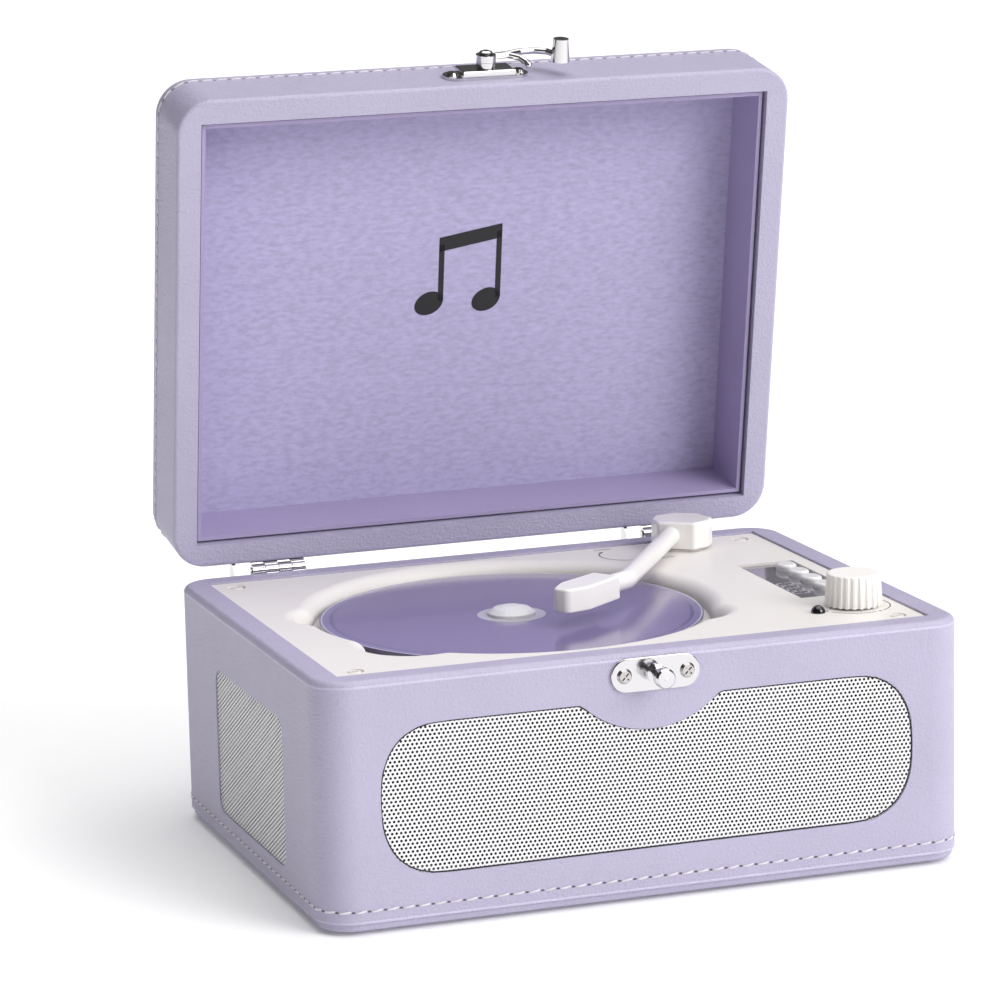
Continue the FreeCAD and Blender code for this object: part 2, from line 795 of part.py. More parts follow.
def display_parts():
    lens_low = "#case_height - #deck_drop - #window_depth"
    glass = block(
        "lens_blank",
        ("#window_width - 0.3", "#window_length - 0.3", "#lens_thick"),
        (
            "#window_x - #window_width / 2 + 0.15",
            "#window_y - #window_length / 2 + 0.15",
            lens_low,
        ),
    )
    openings = []
    for i in range(4):
        x, y = button_spot(i)
        openings.append(
            ellipse_prism(
                f"lens_opening_{i}",
                "#button_half_x + 0.2",
                "#button_half_y + 0.2",
                x,
                y,
                f"{lens_low} - 1",
                "4",
            )
        )
    keep(cut("display_lens", glass, *openings))
    board = block("board_sheet", ("19", "57.6", "1.6"), ("69.8", "-30.8", "66.6"))
    digits = block("digit_block", ("8", "34", "3.8"), ("70.6", "-20", "68.2"))
    legs = [rod(f"board_leg_{i}", "1.4", "4.6", ("79.7", y, "68.1"))
            for i, y in enumerate(("-29.2", "25.2"))]
    keep(fuse("control_board", board, digits, *legs))
    switches = []
    for i in range(4):
        x, y = button_spot(i)
        base = block(f"switch_base_{i}", ("6", "6", "2.2"), (f"{x} - 3", f"{y} - 3", "68.2"))
        stem = rod(f"switch_stem_{i}", "1.5", "0.8", (x, y, "70.4"))
        switches.append(fuse(f"switch_{i}", base, stem))
    keep(group("tact_switches", *switches))
    for i, name in enumerate(("play_button", "back_button", "next_button", "source_button")):
        x, y = button_spot(i)
        cap = ellipse_prism(
            f"{name}_cap", "#button_half_x", "#button_half_y", x, y, "72.4", "#button_top - 72.4"
        )
        rounded = doc.addObject("Part::Fillet", f"{name}_crown")
        rounded.Base = cap
        doc.recompute()
        rim = [
            i + 1
            for i, e in enumerate(cap.Shape.Edges)
            if level_at(dim("button_top"))(e)
        ]
        rounded.Edges = [(number, 0.9, 0.9) for number in rim]
        skirt = ellipse_prism(
            f"{name}_skirt",
            "#button_half_x + 0.7",
            "#button_half_y + 0.6",
            x,
            y,
            "71.9",
            "0.8",
        )
        keep(fuse(name, rounded, skirt))


def knob_parts():
    x, y = "#knob_x", "#knob_y"
    body_low = "62"
    case = rod("pot_case", "8.5", "8", (x, y, body_low))
    bush = rod("pot_bush", "3.8", "6.6", (x, y, "70"))
    nut = rod("pot_nut", "5.2", "1.3", (x, y, "#case_height - #deck_drop"))
    bore = rod("pot_bore", "2.5 + #running_gap", "16", (x, y, "63.4"))
    keep(cut("volume_pot", fuse("pot_solid", case, bush, nut), bore))
    keep(rod("pot_shaft", "2.5", "18.5", (x, y, "64")))
    body = new_body("volume_knob")
    profile = new_sketch(body, "knob_profile", "XZ_Plane")
    inner = "2.5"
    polygon(
        profile,
        [
            ("5.8", "#knob_low"),
            ("#knob_radius", "#knob_low"),
            ("#knob_top_radius", "#knob_high"),
            ("0", "#knob_high"),
            ("0", "82.5"),
            (inner, "82.5"),
            (inner, "77.4"),
            ("5.8", "77.4"),
        ],
    )
    revolve(body, profile, "V_Axis")
    soften(body, "0.9", level_at(dim("knob_high")), "Crown")
    flute = new_sketch(body, "knob_flute", "XY_Plane", ("#knob_radius - 0.2", "0", "#knob_low - 1"))
    circle(flute, "0.8")
    first = pocket(body, flute, "#knob_high - #knob_low + 2", "Flute")
    pattern = body.newObject("PartDesign::PolarPattern", "knob_flutes")
    pattern.Originals = [first]
    pattern.Axis = (next(f for f in body.Origin.OriginFeatures if f.Role == "Z_Axis"), [""])
    pattern.Angle = 360
    pattern.Occurrences = 24
    body.Tip = pattern
    place(body, (x, y, "0"))
    keep(body)
    stem = rod("sensor_stem", "1.85", "5", ("#sensor_x", "#sensor_y", "71"))
    ball = doc.addObject("Part::Sphere", "sensor_ball")
    bind(ball, Radius="#sensor_radius")
    ball.Angle1 = 0
    place(ball, ("#sensor_x", "#sensor_y", "#case_height - #deck_drop"))
    keep(fuse("sensor_dome", ball, stem))


# --------------------------------------------------------------------- tonearm


def arm_parts():
    x, y = "#arm_x", "#arm_y"
    flange = rod("foot_flange", "7.6", "0.7", (x, y, "#case_height - #deck_drop"))
    sleeve = rod("foot_sleeve", "4.9", "10", (x, y, "65"))
    bore = rod("foot_bore", "#arm_shaft_radius + #running_gap", "20", (x, y, "60"))
    keep(cut("tonearm_foot", fuse("foot_solid", flange, sleeve), bore))
    shaft = rod("shaft_rod", "#arm_shaft_radius", "#arm_low + 4 - 61", (x, y, "61"))
    lobe = block("shaft_lobe", ("6.5", "3", "2.4"), (f"{x} - 6.5", f"{y} - 1.5", "61.4"))
    keep(fuse("tonearm_shaft", shaft, lobe))
    case = block("switch_case", ("10", "7", "11"), (f"{x} - 18", f"{y} - 3.5", "61.7"))
    plunger = block("switch_plunger", ("1.2", "2", "1.6"), (f"{x} - 8.2", f"{y} - 1", "61.8"))
    keep(fuse("arm_switch", case, plunger))

    lean = math.radians(34.7)
    ahead = Vector(-math.sin(lean), -math.cos(lean), 0)
    across = Vector(ahead.y, -ahead.x, 0) * -1
    pivot = Vector(dim("arm_x"), dim("arm_y"), 0)
    outline = [
        (8.6, -6.2), (8.6, 6.2), (2.8, 9.7), (-3.0, 9.7), (-8.3, 3.8), (-8.3, -3.8),
        (-3.0, -9.7), (2.8, -9.7),
    ]
    low, high = dim("arm_low"), dim("arm_high")
    corners = [pivot + ahead * a + across * b + Vector(0, 0, low) for a, b in outline]
    solid = Part.Face(Part.makePolygon(corners + corners[:1])).extrude(Vector(0, 0, high - low))
    sides = [e for e in solid.Edges if upright(e)]
    solid = solid.makeFillet(1.6, sides)
    solid = solid.makeFillet(1.0, [e for e in solid.Edges if level_at(high)(e)])
    solid = solid.makeFillet(0.5, [e for e in solid.Edges if level_at(low)(e)])
    socket = Part.makeCylinder(dim("arm_shaft_radius"), 4, pivot + Vector(0, 0, low))
    keep(feature("tonearm_housing", solid.cut(socket)))

    level = (low + high) / 2
    start = Vector(58.6, 53.2, level)
    elbow = Vector(21.3, -3.3, level)
    rear = Vector(12.5, -8.6, level)
    tail = rear + (rear - elbow) * 0.35
    keep(feature("tonearm_tube", bent_tube([start, elbow, tail], dim("arm_tube_radius"), 9.0)))

    facing = Vector(-0.812, -0.583, 0)
    facing.normalize()
    side = Vector(-facing.y, facing.x, 0) * -1
    outline = [(0, -4.9), (17.5, -5.6), (25.6, -2.7), (25.6, 2.7), (17.5, 5.6), (0, 4.9)]
    low, high = dim("head_low"), dim("head_high")
    base = Vector(rear.x, rear.y, low)
    corners = [base + facing * u + side * v for u, v in outline]
    solid = Part.Face(Part.makePolygon(corners + corners[:1])).extrude(Vector(0, 0, high - low))
    nose = base + facing * 25.6
    bends = [e for e in solid.Edges if upright(e) and near(e, nose, 3.5)]
    solid = solid.makeFillet(2.4, bends)
    waist = [e for e in solid.Edges if upright(e) and near(e, base + facing * 17.5, 6.5)]
    solid = solid.makeFillet(6.0, waist)
    solid = solid.makeFillet(0.8, [e for e in solid.Edges if level_at(high)(e)])
    solid = solid.makeFillet(0.5, [e for e in solid.Edges if level_at(low)(e)])
    keep(feature("tonearm_head", solid))


def near(edge, point, reach):
    """Whether an edge's middle is within reach of a point, seen from above."""
    middle = edge.CenterOfMass
    return math.hypot(middle.x - point.x, middle.y - point.y) < reach


def bent_tube(points, radius, bend):
    """A round bar along three points, with one arc of the bend radius."""
    start, corner, end = points
    before = (start - corner).normalize()
    after = (end - corner).normalize()
    half = before.getAngle(after) / 2
    reach = bend / math.tan(half)
    first = corner + before * reach
    last = corner + after * reach
    bisector = (before + after).normalize()
    middle = corner + bisector * (bend / math.sin(half) - bend)
    path = Part.Wire(
        [
            Part.LineSegment(start, first).toShape(),
            Part.Arc(first, middle, last).toShape(),
            Part.LineSegment(last, end).toShape(),
        ]
    )
    ring = Part.Wire(Part.Circle(start, before * -1, radius).toShape())
    return path.makePipeShell([ring], True, True)


# -------------------------------------------------------------- disc mechanism


def disc_parts():
    bottom = "#disc_top - #disc_thick"
    body = new_body("disc")
    sketch = new_sketch(body, "disc_outline", "XY_Plane", ("#disc_x", "#disc_y", bottom))
    circle(sketch, "#disc_radius")
    pad(body, sketch, "#disc_thick")
    hole = new_sketch(body, "disc_bore", "XY_Plane", ("#disc_x", "#disc_y", "#disc_top"))
    circle(hole, "#disc_hole")
    pocket(body, hole, "2 * #disc_thick", "Bore", both=True)
    keep(body)
    hub = new_body("turntable_hub")
    profile = new_sketch(hub, "hub_profile", "XZ_Plane")
    polygon(
        profile,
        [
            ("0", "49.5"),
            ("1", "49.5"),
            ("1", "67"),
            ("5", "67"),
            ("5", "69.6"),
            ("15", "69.6"),
            ("15", bottom),
            ("#disc_hole - 0.1", bottom),
            ("#disc_hole - 0.1", "#disc_top + 0.9"),
            ("5.6", "#disc_top + 2.2"),
            ("2.6", "#disc_top + 2.9"),
            ("0", "#disc_top + 3.0"),
        ],
    )
    revolve(hub, profile, "V_Axis")
    place(hub, ("#disc_x", "#disc_y", "0"))
    keep(hub)


def rack_outline(low, high, mesh_y, tip, root, backing):
    """A rack's outline in X and Y, with a gap between teeth centred on mesh_y."""
    module = dim("gear_module")
    pitch = math.pi * module
    slope = math.tan(math.radians(20))
    first = math.ceil((low - mesh_y) / pitch + 0.2)
    last = math.floor((high - mesh_y) / pitch - 0.2)
    half = pitch / 4 - 0.12
    points = [Vector(backing, low, 0), Vector(root, low, 0)]
    for k in range(first, last):
        middle = mesh_y + (k + 0.5) * pitch
        wide = half + module * slope
        thin = half - module * slope * 0.9
        points += [
            Vector(root, middle - wide, 0),
            Vector(tip, middle - thin, 0),
            Vector(tip, middle + thin, 0),
            Vector(root, middle + wide, 0),
        ]
    points += [Vector(root, high, 0), Vector(backing, high, 0)]
    return points


def gear_outline(centre, teeth, module, pointing):
    """An involute gear's outline, with one tooth pointing along an angle."""
    pitch_r = module * teeth / 2
    base_r = pitch_r * math.cos(math.radians(20))
    tip_r, root_r = pitch_r + module * 0.9, pitch_r - module * 1.15
    involute = lambda r: math.sqrt(max((r / base_r) ** 2 - 1, 0)) - math.acos(min(base_r / r, 1))
    half_at_pitch = math.pi / teeth / 2 - 0.12 / pitch_r
    points = []
    for k in range(teeth):
        middle = pointing + 2 * math.pi * k / teeth
        radii = [max(base_r, root_r) + (tip_r - max(base_r, root_r)) * i / 4 for i in range(5)]
        flank = [(r, half_at_pitch + involute(pitch_r) - involute(r)) for r in radii]
        flank = [(root_r, flank[0][1])] + flank if root_r < base_r else flank
        for r, half in flank:
            angle = middle - half
            points.append(centre + Vector(math.cos(angle), math.sin(angle), 0) * r)
        for r, half in reversed(flank):
            angle = middle + half
            points.append(centre + Vector(math.cos(angle), math.sin(angle), 0) * r)
    return points


def mechanism():
    x0, y0 = dim("disc_x"), dim("disc_y")
    z = dim("chassis_z")
    plate = Part.makeBox(67, 92, 2, Vector(x0 - 29, y0 - 26, z))
    pieces = []
    for side in (-1, 1):
        for y in (12.0, 62.6):
            low = Vector(x0 + side * dim("rod_spread") - 3, y0 + y, z + 1)
            pieces.append(Part.makeBox(6, 3.4, dim("rod_z") + 2.6 - z - 1, low))
    mounts = [(-25, -22), (34, -22), (-25, 50), (34, 50)]
    for px, py in mounts:
        pieces.append(Part.makeCylinder(2.5, 65.6 - z, Vector(x0 + px, y0 + py, z)))
    chassis = plate.multiFuse(pieces)
    gear_r = dim("gear_module") * dim("gear_teeth") / 2
    gear_x = x0 + 23.2 + gear_r
    gear_y = y0 + dim("sled_start") + 7
    tools = [
        Part.makeCylinder(3, 10, Vector(x0, y0, z - 2)),
        Part.makeCylinder(1.2, 10, Vector(gear_x, gear_y, z - 2)),
    ]
    rods = []
    for side in (-1, 1):
        start = Vector(x0 + side * dim("rod_spread"), y0 + 12, dim("rod_z"))
        tools.append(Part.makeCylinder(dim("rod_radius") + 0.01, 60, start, Vector(0, 1, 0)))
        rods.append(Part.makeCylinder(dim("rod_radius"), 54, start, Vector(0, 1, 0)))
    keep(feature("cd_chassis", chassis.cut(Part.makeCompound(tools))))
    keep(feature("sled_rods", Part.makeCompound(rods)))
    rings = [
        Part.makeCylinder(4, 2, Vector(x0 + px, y0 + py, 65.6)) for px, py in mounts
    ]
    keep(feature("chassis_dampers", Part.makeCompound(rings)))

    can = rod("motor_can", "12", "9.7", ("#disc_x", "#disc_y", "#chassis_z - 9.8"))
    bore = rod("motor_bore", "1 + #running_gap", "9", ("#disc_x", "#disc_y", "49"))
    keep(cut("spindle_motor", can, bore))
    spot = (f"#disc_x + 23.2 + {gear_r}", "#disc_y + #sled_start + 7")
    can = rod("drive_can", "7", "10.7", (*spot, "#chassis_z - 10.8"))
    bore = rod("drive_bore", "0.9 + #running_gap", "9", (*spot, "49"))
    keep(cut("sled_motor", can, bore))

    sled_y = y0 + dim("sled_start")
    shape = Part.makeBox(40, 10, 5.8, Vector(x0 - 20, sled_y - 5, 60.2))
    ends = rack_outline(sled_y - 29, sled_y + 9, gear_y, x0 + 23.9, x0 + 22.2, x0 + 20)
    face = Part.Face(Part.makePolygon(ends + ends[:1]))
    face.translate(Vector(0, 0, 61))
    shape = shape.fuse(face.extrude(Vector(0, 0, 4.5)))
    for side in (-1, 1):
        start = Vector(x0 + side * dim("rod_spread"), sled_y - 10, dim("rod_z"))
        reach = dim("rod_radius") + dim("running_gap")
        shape = shape.cut(Part.makeCylinder(reach, 20, start, Vector(0, 1, 0)))
    keep(feature("laser_sled", shape.removeSplitter()))
    lens = rod("lens_barrel", "4.5", "2.7", ("#disc_x", "#disc_y + #sled_start", "66.5"))
    eye = rod("lens_eye", "2", "1", ("#disc_x", "#disc_y + #sled_start", "68.8"))
    keep(cut("objective_lens", lens, eye))

    ends = gear_outline(
        Vector(gear_x, gear_y, 61.2), int(dim("gear_teeth")), dim("gear_module"), math.pi
    )
    wheel = Part.Face(Part.makePolygon(ends + ends[:1])).extrude(Vector(0, 0, 4.1))
    axle = Part.makeCylinder(0.9, 12, Vector(gear_x, gear_y, 50))
    keep(feature("drive_pinion", wheel.fuse(axle)))


def electronics():
    sheet_low = 46.0
    board = Part.makeBox(40, 88, 1.6, Vector(50, -38, sheet_low))
    parts = []
    for x, y, radius, tall in ((60, -20, 4, 10), (70, -20, 4, 10), (60, 30, 5, 12)):
        parts.append(Part.makeCylinder(radius, tall, Vector(x, y, sheet_low + 1.6)))
    for x, y, wide, deep in ((66, 0, 12, 12), (76, 20, 10, 8), (62, 12, 8, 6)):
        parts.append(Part.makeBox(wide, deep, 1.6, Vector(x, y, sheet_low + 1.6)))
    keep(feature("main_board", board.multiFuse(parts).removeSplitter()))


# --------------------------------------------------------------- rear sockets


def rear_sockets():
    back = "#case_depth / 2"
    blank = block(
        "socket_blank", ("64", "1.6", "27"), ("#socket_x - 32", back, "#socket_z - 13.5")
    )
    slot = block(
        "switch_slot",
        ("9.4", "6", "3.5"),
        ("#socket_x + 13.3", f"{back} - 2", "#socket_z - 1.75"),
    )
    tools = [slot]
    for name, offset, radius in (("aux", "-17", "3.6"), ("power", "-3", "4.6")):
        spot = (f"#socket_x + {offset}", f"{back} - 3", "#socket_z")
        tools.append(rod(f"{name}_opening", radius, "10", spot, BACK))
    for i, (sx, sz) in enumerate(((-1, -1), (-1, 1), (1, -1), (1, 1))):
        spot = (f"#socket_x + {sx * 29}", f"{back} - 3", f"#socket_z + {sz * 10.5}")
        tools.append(rod(f"socket_screw_hole_{i}", "1.4", "10", spot, BACK))
    keep(cut("rear_panel", blank, *tools))
    sockets = (
        ("aux_jack", "-17", "3.55", "1.8", "14.4", ("11", "17", "9")),
        ("dc_jack", "-3", "4.55", "2.85", "10.4", ("12", "15", "12")),
    )
    for name, offset, collar_r, bore_r, deep, size in sockets:
        shell = block(
            f"{name}_shell",
            size,
            (
                f"#socket_x + {offset} - {size[0]} / 2",
                f"{back} - {size[1]}",
                f"#socket_z - {size[2]} / 2",
            ),
        )
        spot = (f"#socket_x + {offset}", f"{back} - 1", "#socket_z")
        collar = rod(f"{name}_collar", collar_r, "3.0", spot, BACK)
        spot = (f"#socket_x + {offset}", f"{back} + 2 - {deep}", "#socket_z")
        bore = rod(f"{name}_bore", bore_r, deep, spot, BACK)
        whole = cut(f"{name}_hollow", fuse(f"{name}_solid", shell, collar), bore)
        if name == "dc_jack":
            spot = (f"#socket_x + {offset}", f"{back} + 1 - {deep}", "#socket_z")
            pin = rod("dc_pin", "1", f"{deep} - 0.4", spot, BACK)
            keep(fuse(name, whole, pin))
        else:
            whole.Label = name
            keep(whole)
    keep(
        block(
            "power_switch",
            ("15", "7", "8"),
            ("#socket_x + 10.5", f"{back} - 7.4", "#socket_z - 4"),
        )
    )
    keep(
        block(
            "switch_slider",
            ("5", "3.4", "3.2"),
            ("#socket_x + 13.5", f"{back} - 0.2", "#socket_z - 1.6"),
        )
    )


# ------------------------------------------------------- hinges, catch and latch


def obround_plate(name, half, radius, thick):
    """A stadium-shaped plate lying against a wall that faces -Y at y = 0."""
    body = new_body(name)
    sketch = new_sketch(body, f"{name}_outline", "XZ_Plane")
    x, r = value(cells(half)), value(cells(radius))
    top, low = Vector(0, r, 0), Vector(0, -r, 0)
    right, left = Vector(x, 0, 0), Vector(-x, 0, 0)
    sketch.addGeometry(Part.LineSegment(left + top, right + top))
    sketch.addGeometry(Part.Arc(right + top, right + Vector(r, 0, 0), right + low))
    sketch.addGeometry(Part.LineSegment(right + low, left + low))
    sketch.addGeometry(Part.Arc(left + low, left - Vector(r, 0, 0), left + top))
    pad(body, sketch, thick)
    return body


def catch_parts():
    front = Vector(dim("hardware_x"), -dim("case_depth") / 2, dim("catch_z"))
    body = obround_plate("catch_plate", "#plate_half", "#plate_radius", "1.0")
    soften(body, "0.35", lambda e: abs(e.BoundBox.YMax + 1.0) < 1e-5, "Edge")
    for i, (x, size) in enumerate((("-10", "1.35"), ("10", "1.35"), ("0", "1.9"))):
        hole = new_sketch(body, f"catch_hole_{i}", "XZ_Plane", (x, "0", "1.0"))
        circle(hole, size)
        pocket(body, hole, "3", f"Hole{i}")
    place(body, ("#hardware_x", "-#case_depth / 2", "#catch_z"))
    keep(body)
    post = [
        (0, 0), (1.9, 0), (1.9, 1.0), (2.9, 1.0), (2.9, 1.8), (1.7, 2.2), (1.7, 5.2),
        (2.4, 5.6), (3.1, 6.6), (3.1, 9.0), (2.6, 9.7), (0, 9.9),
    ]
    keep(feature("catch_post", turned_profile(post, front, (0, -1, 0))))


def hinge_sites():
    """The middles of the two hinges along X."""
    return (-dim("hinge_spread"), dim("hinge_spread"))


def hinge_shape(centre_x, for_lid):
    """One leaf with its two knuckles, drawn with the lid shut."""
    y, z = dim("hinge_y"), dim("hinge_z")
    wall = dim("case_depth") / 2
    thick, radius, pitch = dim("leaf_thick"), dim("barrel_radius"), dim("knuckle_pitch")
    left = centre_x - 2 * pitch
    if for_lid:
        leaf = Part.makeBox(4 * pitch, thick, 14, Vector(left, wall, z + 0.9))
        web_low = z
    else:
        leaf = Part.makeBox(4 * pitch + 6.2, thick, 15, Vector(left - 6.2, wall, z - 15.9))
        web_low = z - radius
    shape = leaf
    for slot in (0, 2) if for_lid else (1, 3):
        start = Vector(left + slot * pitch - 0.06, y, z)
        room = Part.makeCylinder(radius + 0.2, pitch + 0.12, start, Vector(1, 0, 0))
        shape = shape.cut(room)
    for slot in (1, 3) if for_lid else (0, 2):
        x = left + slot * pitch + 0.12
        wide = pitch - 0.24
        web = Part.makeBox(wide, y - wall, radius, Vector(x, wall, web_low))
        knuckle = Part.makeCylinder(radius, wide, Vector(x, y, z), Vector(1, 0, 0))
        shape = shape.fuse([web, knuckle])
        if for_lid:
            bridge = Part.makeBox(wide, thick, 3, Vector(x, wall, z))
        else:
            bridge = Part.makeBox(wide, thick, 3, Vector(x, wall, z - 3))
        shape = shape.fuse(bridge)
    bore_r = dim("hinge_pin_radius") + (dim("running_gap") if for_lid else 0.01)
    shape = shape.cut(Part.makeCylinder(bore_r, 40, Vector(left - 5, y, z), Vector(1, 0, 0)))
    if not for_lid:
        ear = [
            Vector(left - 6.2, wall, z - 8),
            Vector(left - 6.2, y + 3.3, z - 3),
            Vector(left - 6.2, y + 3.3, z + 3.1),
            Vector(left - 6.2, y - 0.2, z + 2.5),
            Vector(left - 6.2, wall, z - 0.9),
        ]
        face = Part.Face(Part.makePolygon(ear + ear[:1]))
        shape = shape.fuse(face.extrude(Vector(1.2, 0, 0)))
    for x in (-5, 5):
        hole_z = z + 9 if for_lid else z - 11
        start = Vector(centre_x + x, wall - 2, hole_z)
        shape = shape.cut(Part.makeCylinder(1.3, 6, start, Vector(0, 1, 0)))
    return shape.removeSplitter()


def hinge_parts():
    keep(
        feature(
            "hinge_base_leaves",
            Part.makeCompound([hinge_shape(x, False) for x in hinge_sites()]),
        )
    )
    span = 4 * dim("knuckle_pitch")
    pins = [
        Part.makeCylinder(
            dim("hinge_pin_radius"),
            span + 0.6,
            Vector(x - span / 2 - 0.3, dim("hinge_y"), dim("hinge_z")),
            Vector(1, 0, 0),
        )
        for x in hinge_sites()
    ]
    keep(feature("hinge_pins", Part.makeCompound(pins)))


def case_hardware_screws():
    shapes = []
    front = -dim("case_depth") / 2 - 1.0
    for x in (-10, 10):
        foot = Vector(dim("hardware_x") + x, front, dim("catch_z"))
        shapes.append(screw(foot, Vector(0, -1, 0), 2.4, 1.2, 7.0))
    back = dim("case_depth") / 2
    for centre in hinge_sites():
        for x in (-5, 5):
            foot = Vector(centre + x, back + dim("leaf_thick"), dim("hinge_z") - 11)
            shapes.append(screw(foot, Vector(0, 1, 0), 2.2, 1.2, 6.0))
    for x in (-29, 29):
        for z in (-10.5, 10.5):
            foot = Vector(dim("socket_x") + x, back + 1.6, dim("socket_z") + z)
            shapes.append(screw(foot, Vector(0, 1, 0), 2.2, 1.2, 7.0))
    keep(feature("case_hardware_screws", Part.makeCompound(shapes)))


# ------------------------------------------------------------------------- lid


def open_lid(thing):
    """Turn an object drawn with the lid shut to the open position."""
    pivot = Vector(0, dim("hinge_y"), dim("hinge_z"))
    turn = Rotation(Vector(1, 0, 0), -dim("lid_open"))
    thing.Placement = Placement(Vector(0, 0, 0), turn, pivot).multiply(thing.Placement)
    return thing


def lid_parts():
    rim = "#case_height + #lid_gap"
    body = new_body("lid_shell")
    base = new_sketch(body, "lid_outline", "XY_Plane", ("0", "0", rim))
    rectangle(base, "#case_width", "#case_depth")
    pad(body, base, "#lid_height")
    soften(body, "#corner_radius", upright, "Corners")
    wide, deep = dim("case_width"), dim("case_depth")
    top = value(cells(rim)) + dim("lid_height")
    soften(body, "2.6", lambda e: level_at(top)(e) and outer_rim(e, wide, deep), "TopEdge")
    low = value(cells(rim))
    soften(body, "1.2", lambda e: level_at(low)(e) and outer_rim(e, wide, deep), "RimEdge")
    hollow = new_sketch(body, "lid_hollow", "XY_Plane", ("0", "0", rim))
    rectangle(hollow, "#case_width - 2 * #lid_wall", "#case_depth - 2 * #lid_wall")
    pocket(body, hollow, "#lid_depth + #panel_thick", "Hollow")
    keep(open_lid(body))

    body = new_body("lid_liner")
    ring_low = f"{rim} + #liner_recess"
    base = new_sketch(body, "liner_outline", "XY_Plane", ("0", "0", ring_low))
    outer = "2 * #lid_wall - 2 * #liner_gap"
    rectangle(base, f"#case_width - {outer}", f"#case_depth - {outer}")
    pad(body, base, "#lid_depth - #liner_recess")
    hole = new_sketch(body, "liner_hole", "XY_Plane", ("0", "0", ring_low))
    inner = "2 * #lid_wall - 2 * #liner_gap - 2 * #liner_thick"
    rectangle(hole, f"#case_width - {inner}", f"#case_depth - {inner}")
    pocket(body, hole, "2 * #lid_depth", "Hole", both=True)
    keep(open_lid(body))

    body = new_body("lid_panel")
    base = new_sketch(body, "panel_sheet", "XY_Plane", ("0", "0", f"{rim} + #lid_depth"))
    rectangle(base, "#case_width - 2 * #lid_wall - 0.4", "#case_depth - 2 * #lid_wall - 0.4")
    pad(body, base, "#panel_thick - 0.05")
    keep(open_lid(body))


def latch_frame():
    """The latch pivot's place on the lid's front wall, with the lid shut."""
    z = dim("case_height") + dim("lid_gap") + dim("latch_rise")
    return Vector(dim("hardware_x"), -dim("case_depth") / 2, z)


def latch_parts():
    pivot = latch_frame()
    out = Vector(0, -1, 0)
    plate = obround_plate("latch_tab", "#plate_half + 0.6", "#latch_radius", "0.9")
    doc.recompute()
    shape = plate.Shape.copy()
    bridge = Part.makeBox(17.5, 2.9, 9.0, Vector(-8.75, -2.9, -4.5))
    bridge = bridge.makeFillet(0.6, [e for e in bridge.Edges if abs(e.BoundBox.YMax + 2.9) < 1e-5])
    shape = shape.fuse(bridge)
    for x, radius in ((-11.2, 1.35), (11.2, 1.35), (0, 1.25)):
        shape = shape.cut(Part.makeCylinder(radius, 8, Vector(x, 1, 0), out))
    shape.translate(pivot)
    keep(open_lid(feature("latch_plate", shape.removeSplitter())))
    doc.removeObject(plate.Name)
    stack = [(0, 0.2), (1.25, 0.2), (1.25, 2.9), (3.2, 2.9), (3.2, 4.9), (1.25, 4.9),
             (1.25, 7.3), (2.3, 7.3), (2.1, 8.0), (1.2, 8.4), (0, 8.5)]
    keep(open_lid(feature("latch_rivet", turned_profile(stack, pivot, out))))

    def at(x, z, depth):
        return pivot + Vector(x, -depth, z)

    boss = Part.makeCylinder(3.3, 2.1, at(0, 0, 5.0), out)
    hook = round_bar([at(2.6, 0.8, 6.1), at(8.0, 1.4, 6.1), at(11.6, 0.2, 5.3),
                      at(13.1, -2.2, 4.4), at(13.2, -4.2, 4.0)], 1.05)
    tail = round_bar([at(2.6, 1.0, 6.1), at(8.0, 2.6, 6.1), at(13.0, 4.6, 6.1),
                      at(18.0, 5.0, 6.1), at(21.8, 3.0, 6.1), at(23.2, -0.6, 6.1),
                      at(24.5, -2.4, 6.1)], 1.05)
    knob = Part.makeCone(3.1, 2.5, 7.4, at(24.5, -2.4, 4.2), out)
    shape = boss.fuse([hook, tail, knob])
    shape = shape.cut(Part.makeCylinder(1.3, 12, at(0, 0, 0), out))
    shape = shape.cut(Part.makeCylinder(2.6, 3, at(0, 0, 7.15), out))
    keep(open_lid(feature("latch_arm", shape.removeSplitter())))

    leaves = [hinge_shape(x, True) for x in hinge_sites()]
    keep(open_lid(feature("hinge_lid_leaves", Part.makeCompound(leaves))))
    shapes = []
    for x in (-11.2, 11.2):
        foot = Vector(pivot.x + x, pivot.y - 0.9, pivot.z)
        shapes.append(screw(foot, out, 2.1, 1.2, 6.0))
    back = dim("case_depth") / 2 + dim("leaf_thick")
    for centre in hinge_sites():
        for x in (-5, 5):
            foot = Vector(centre + x, back, dim("hinge_z") + 9)
            shapes.append(screw(foot, Vector(0, 1, 0), 2.2, 1.2, 5.5))
    keep(open_lid(feature("lid_hardware_screws", Part.makeCompound(shapes))))


# ----------------------------------------------------------------------- build


def check(thing):
    """Stop at an object that failed to rebuild."""
    if {"Invalid", "Error"} & set(thing.State):
        raise RuntimeError(f"{thing.Name} is {thing.State}")


def main():
    case_shell()
    bottom_panel()
    case_floor_parts()
    floor_screws()
    grilles()
    loudspeakers()
    deck_panel()
    deck_screws()
    display_parts()
    knob_parts()
    arm_parts()
    disc_parts()
    mechanism()
    electronics()
    rear_sockets()
    catch_parts()
    hinge_parts()
    case_hardware_screws()
    lid_parts()
    latch_parts()
    doc.recompute()
    for thing in doc.Objects:
        check(thing)
    for node in nodes:
        if node.Shape.isNull() or not node.Shape.isValid():
            raise RuntimeError(f"{node.Label} has no valid shape")
    for node in nodes:
        node.Shape.exportStep(f"parts/{node.Label}.step")
    print(len(nodes), "nodes")


main()
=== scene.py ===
"""Looks for a suitcase-style disc player shaped like a turntable."""

import json
import logging
import math
from dataclasses import dataclass, field, replace
from enum import Enum
from typing import Callable, Iterable, Iterator, Sequence

import bpy
from mathutils import Matrix, Vector


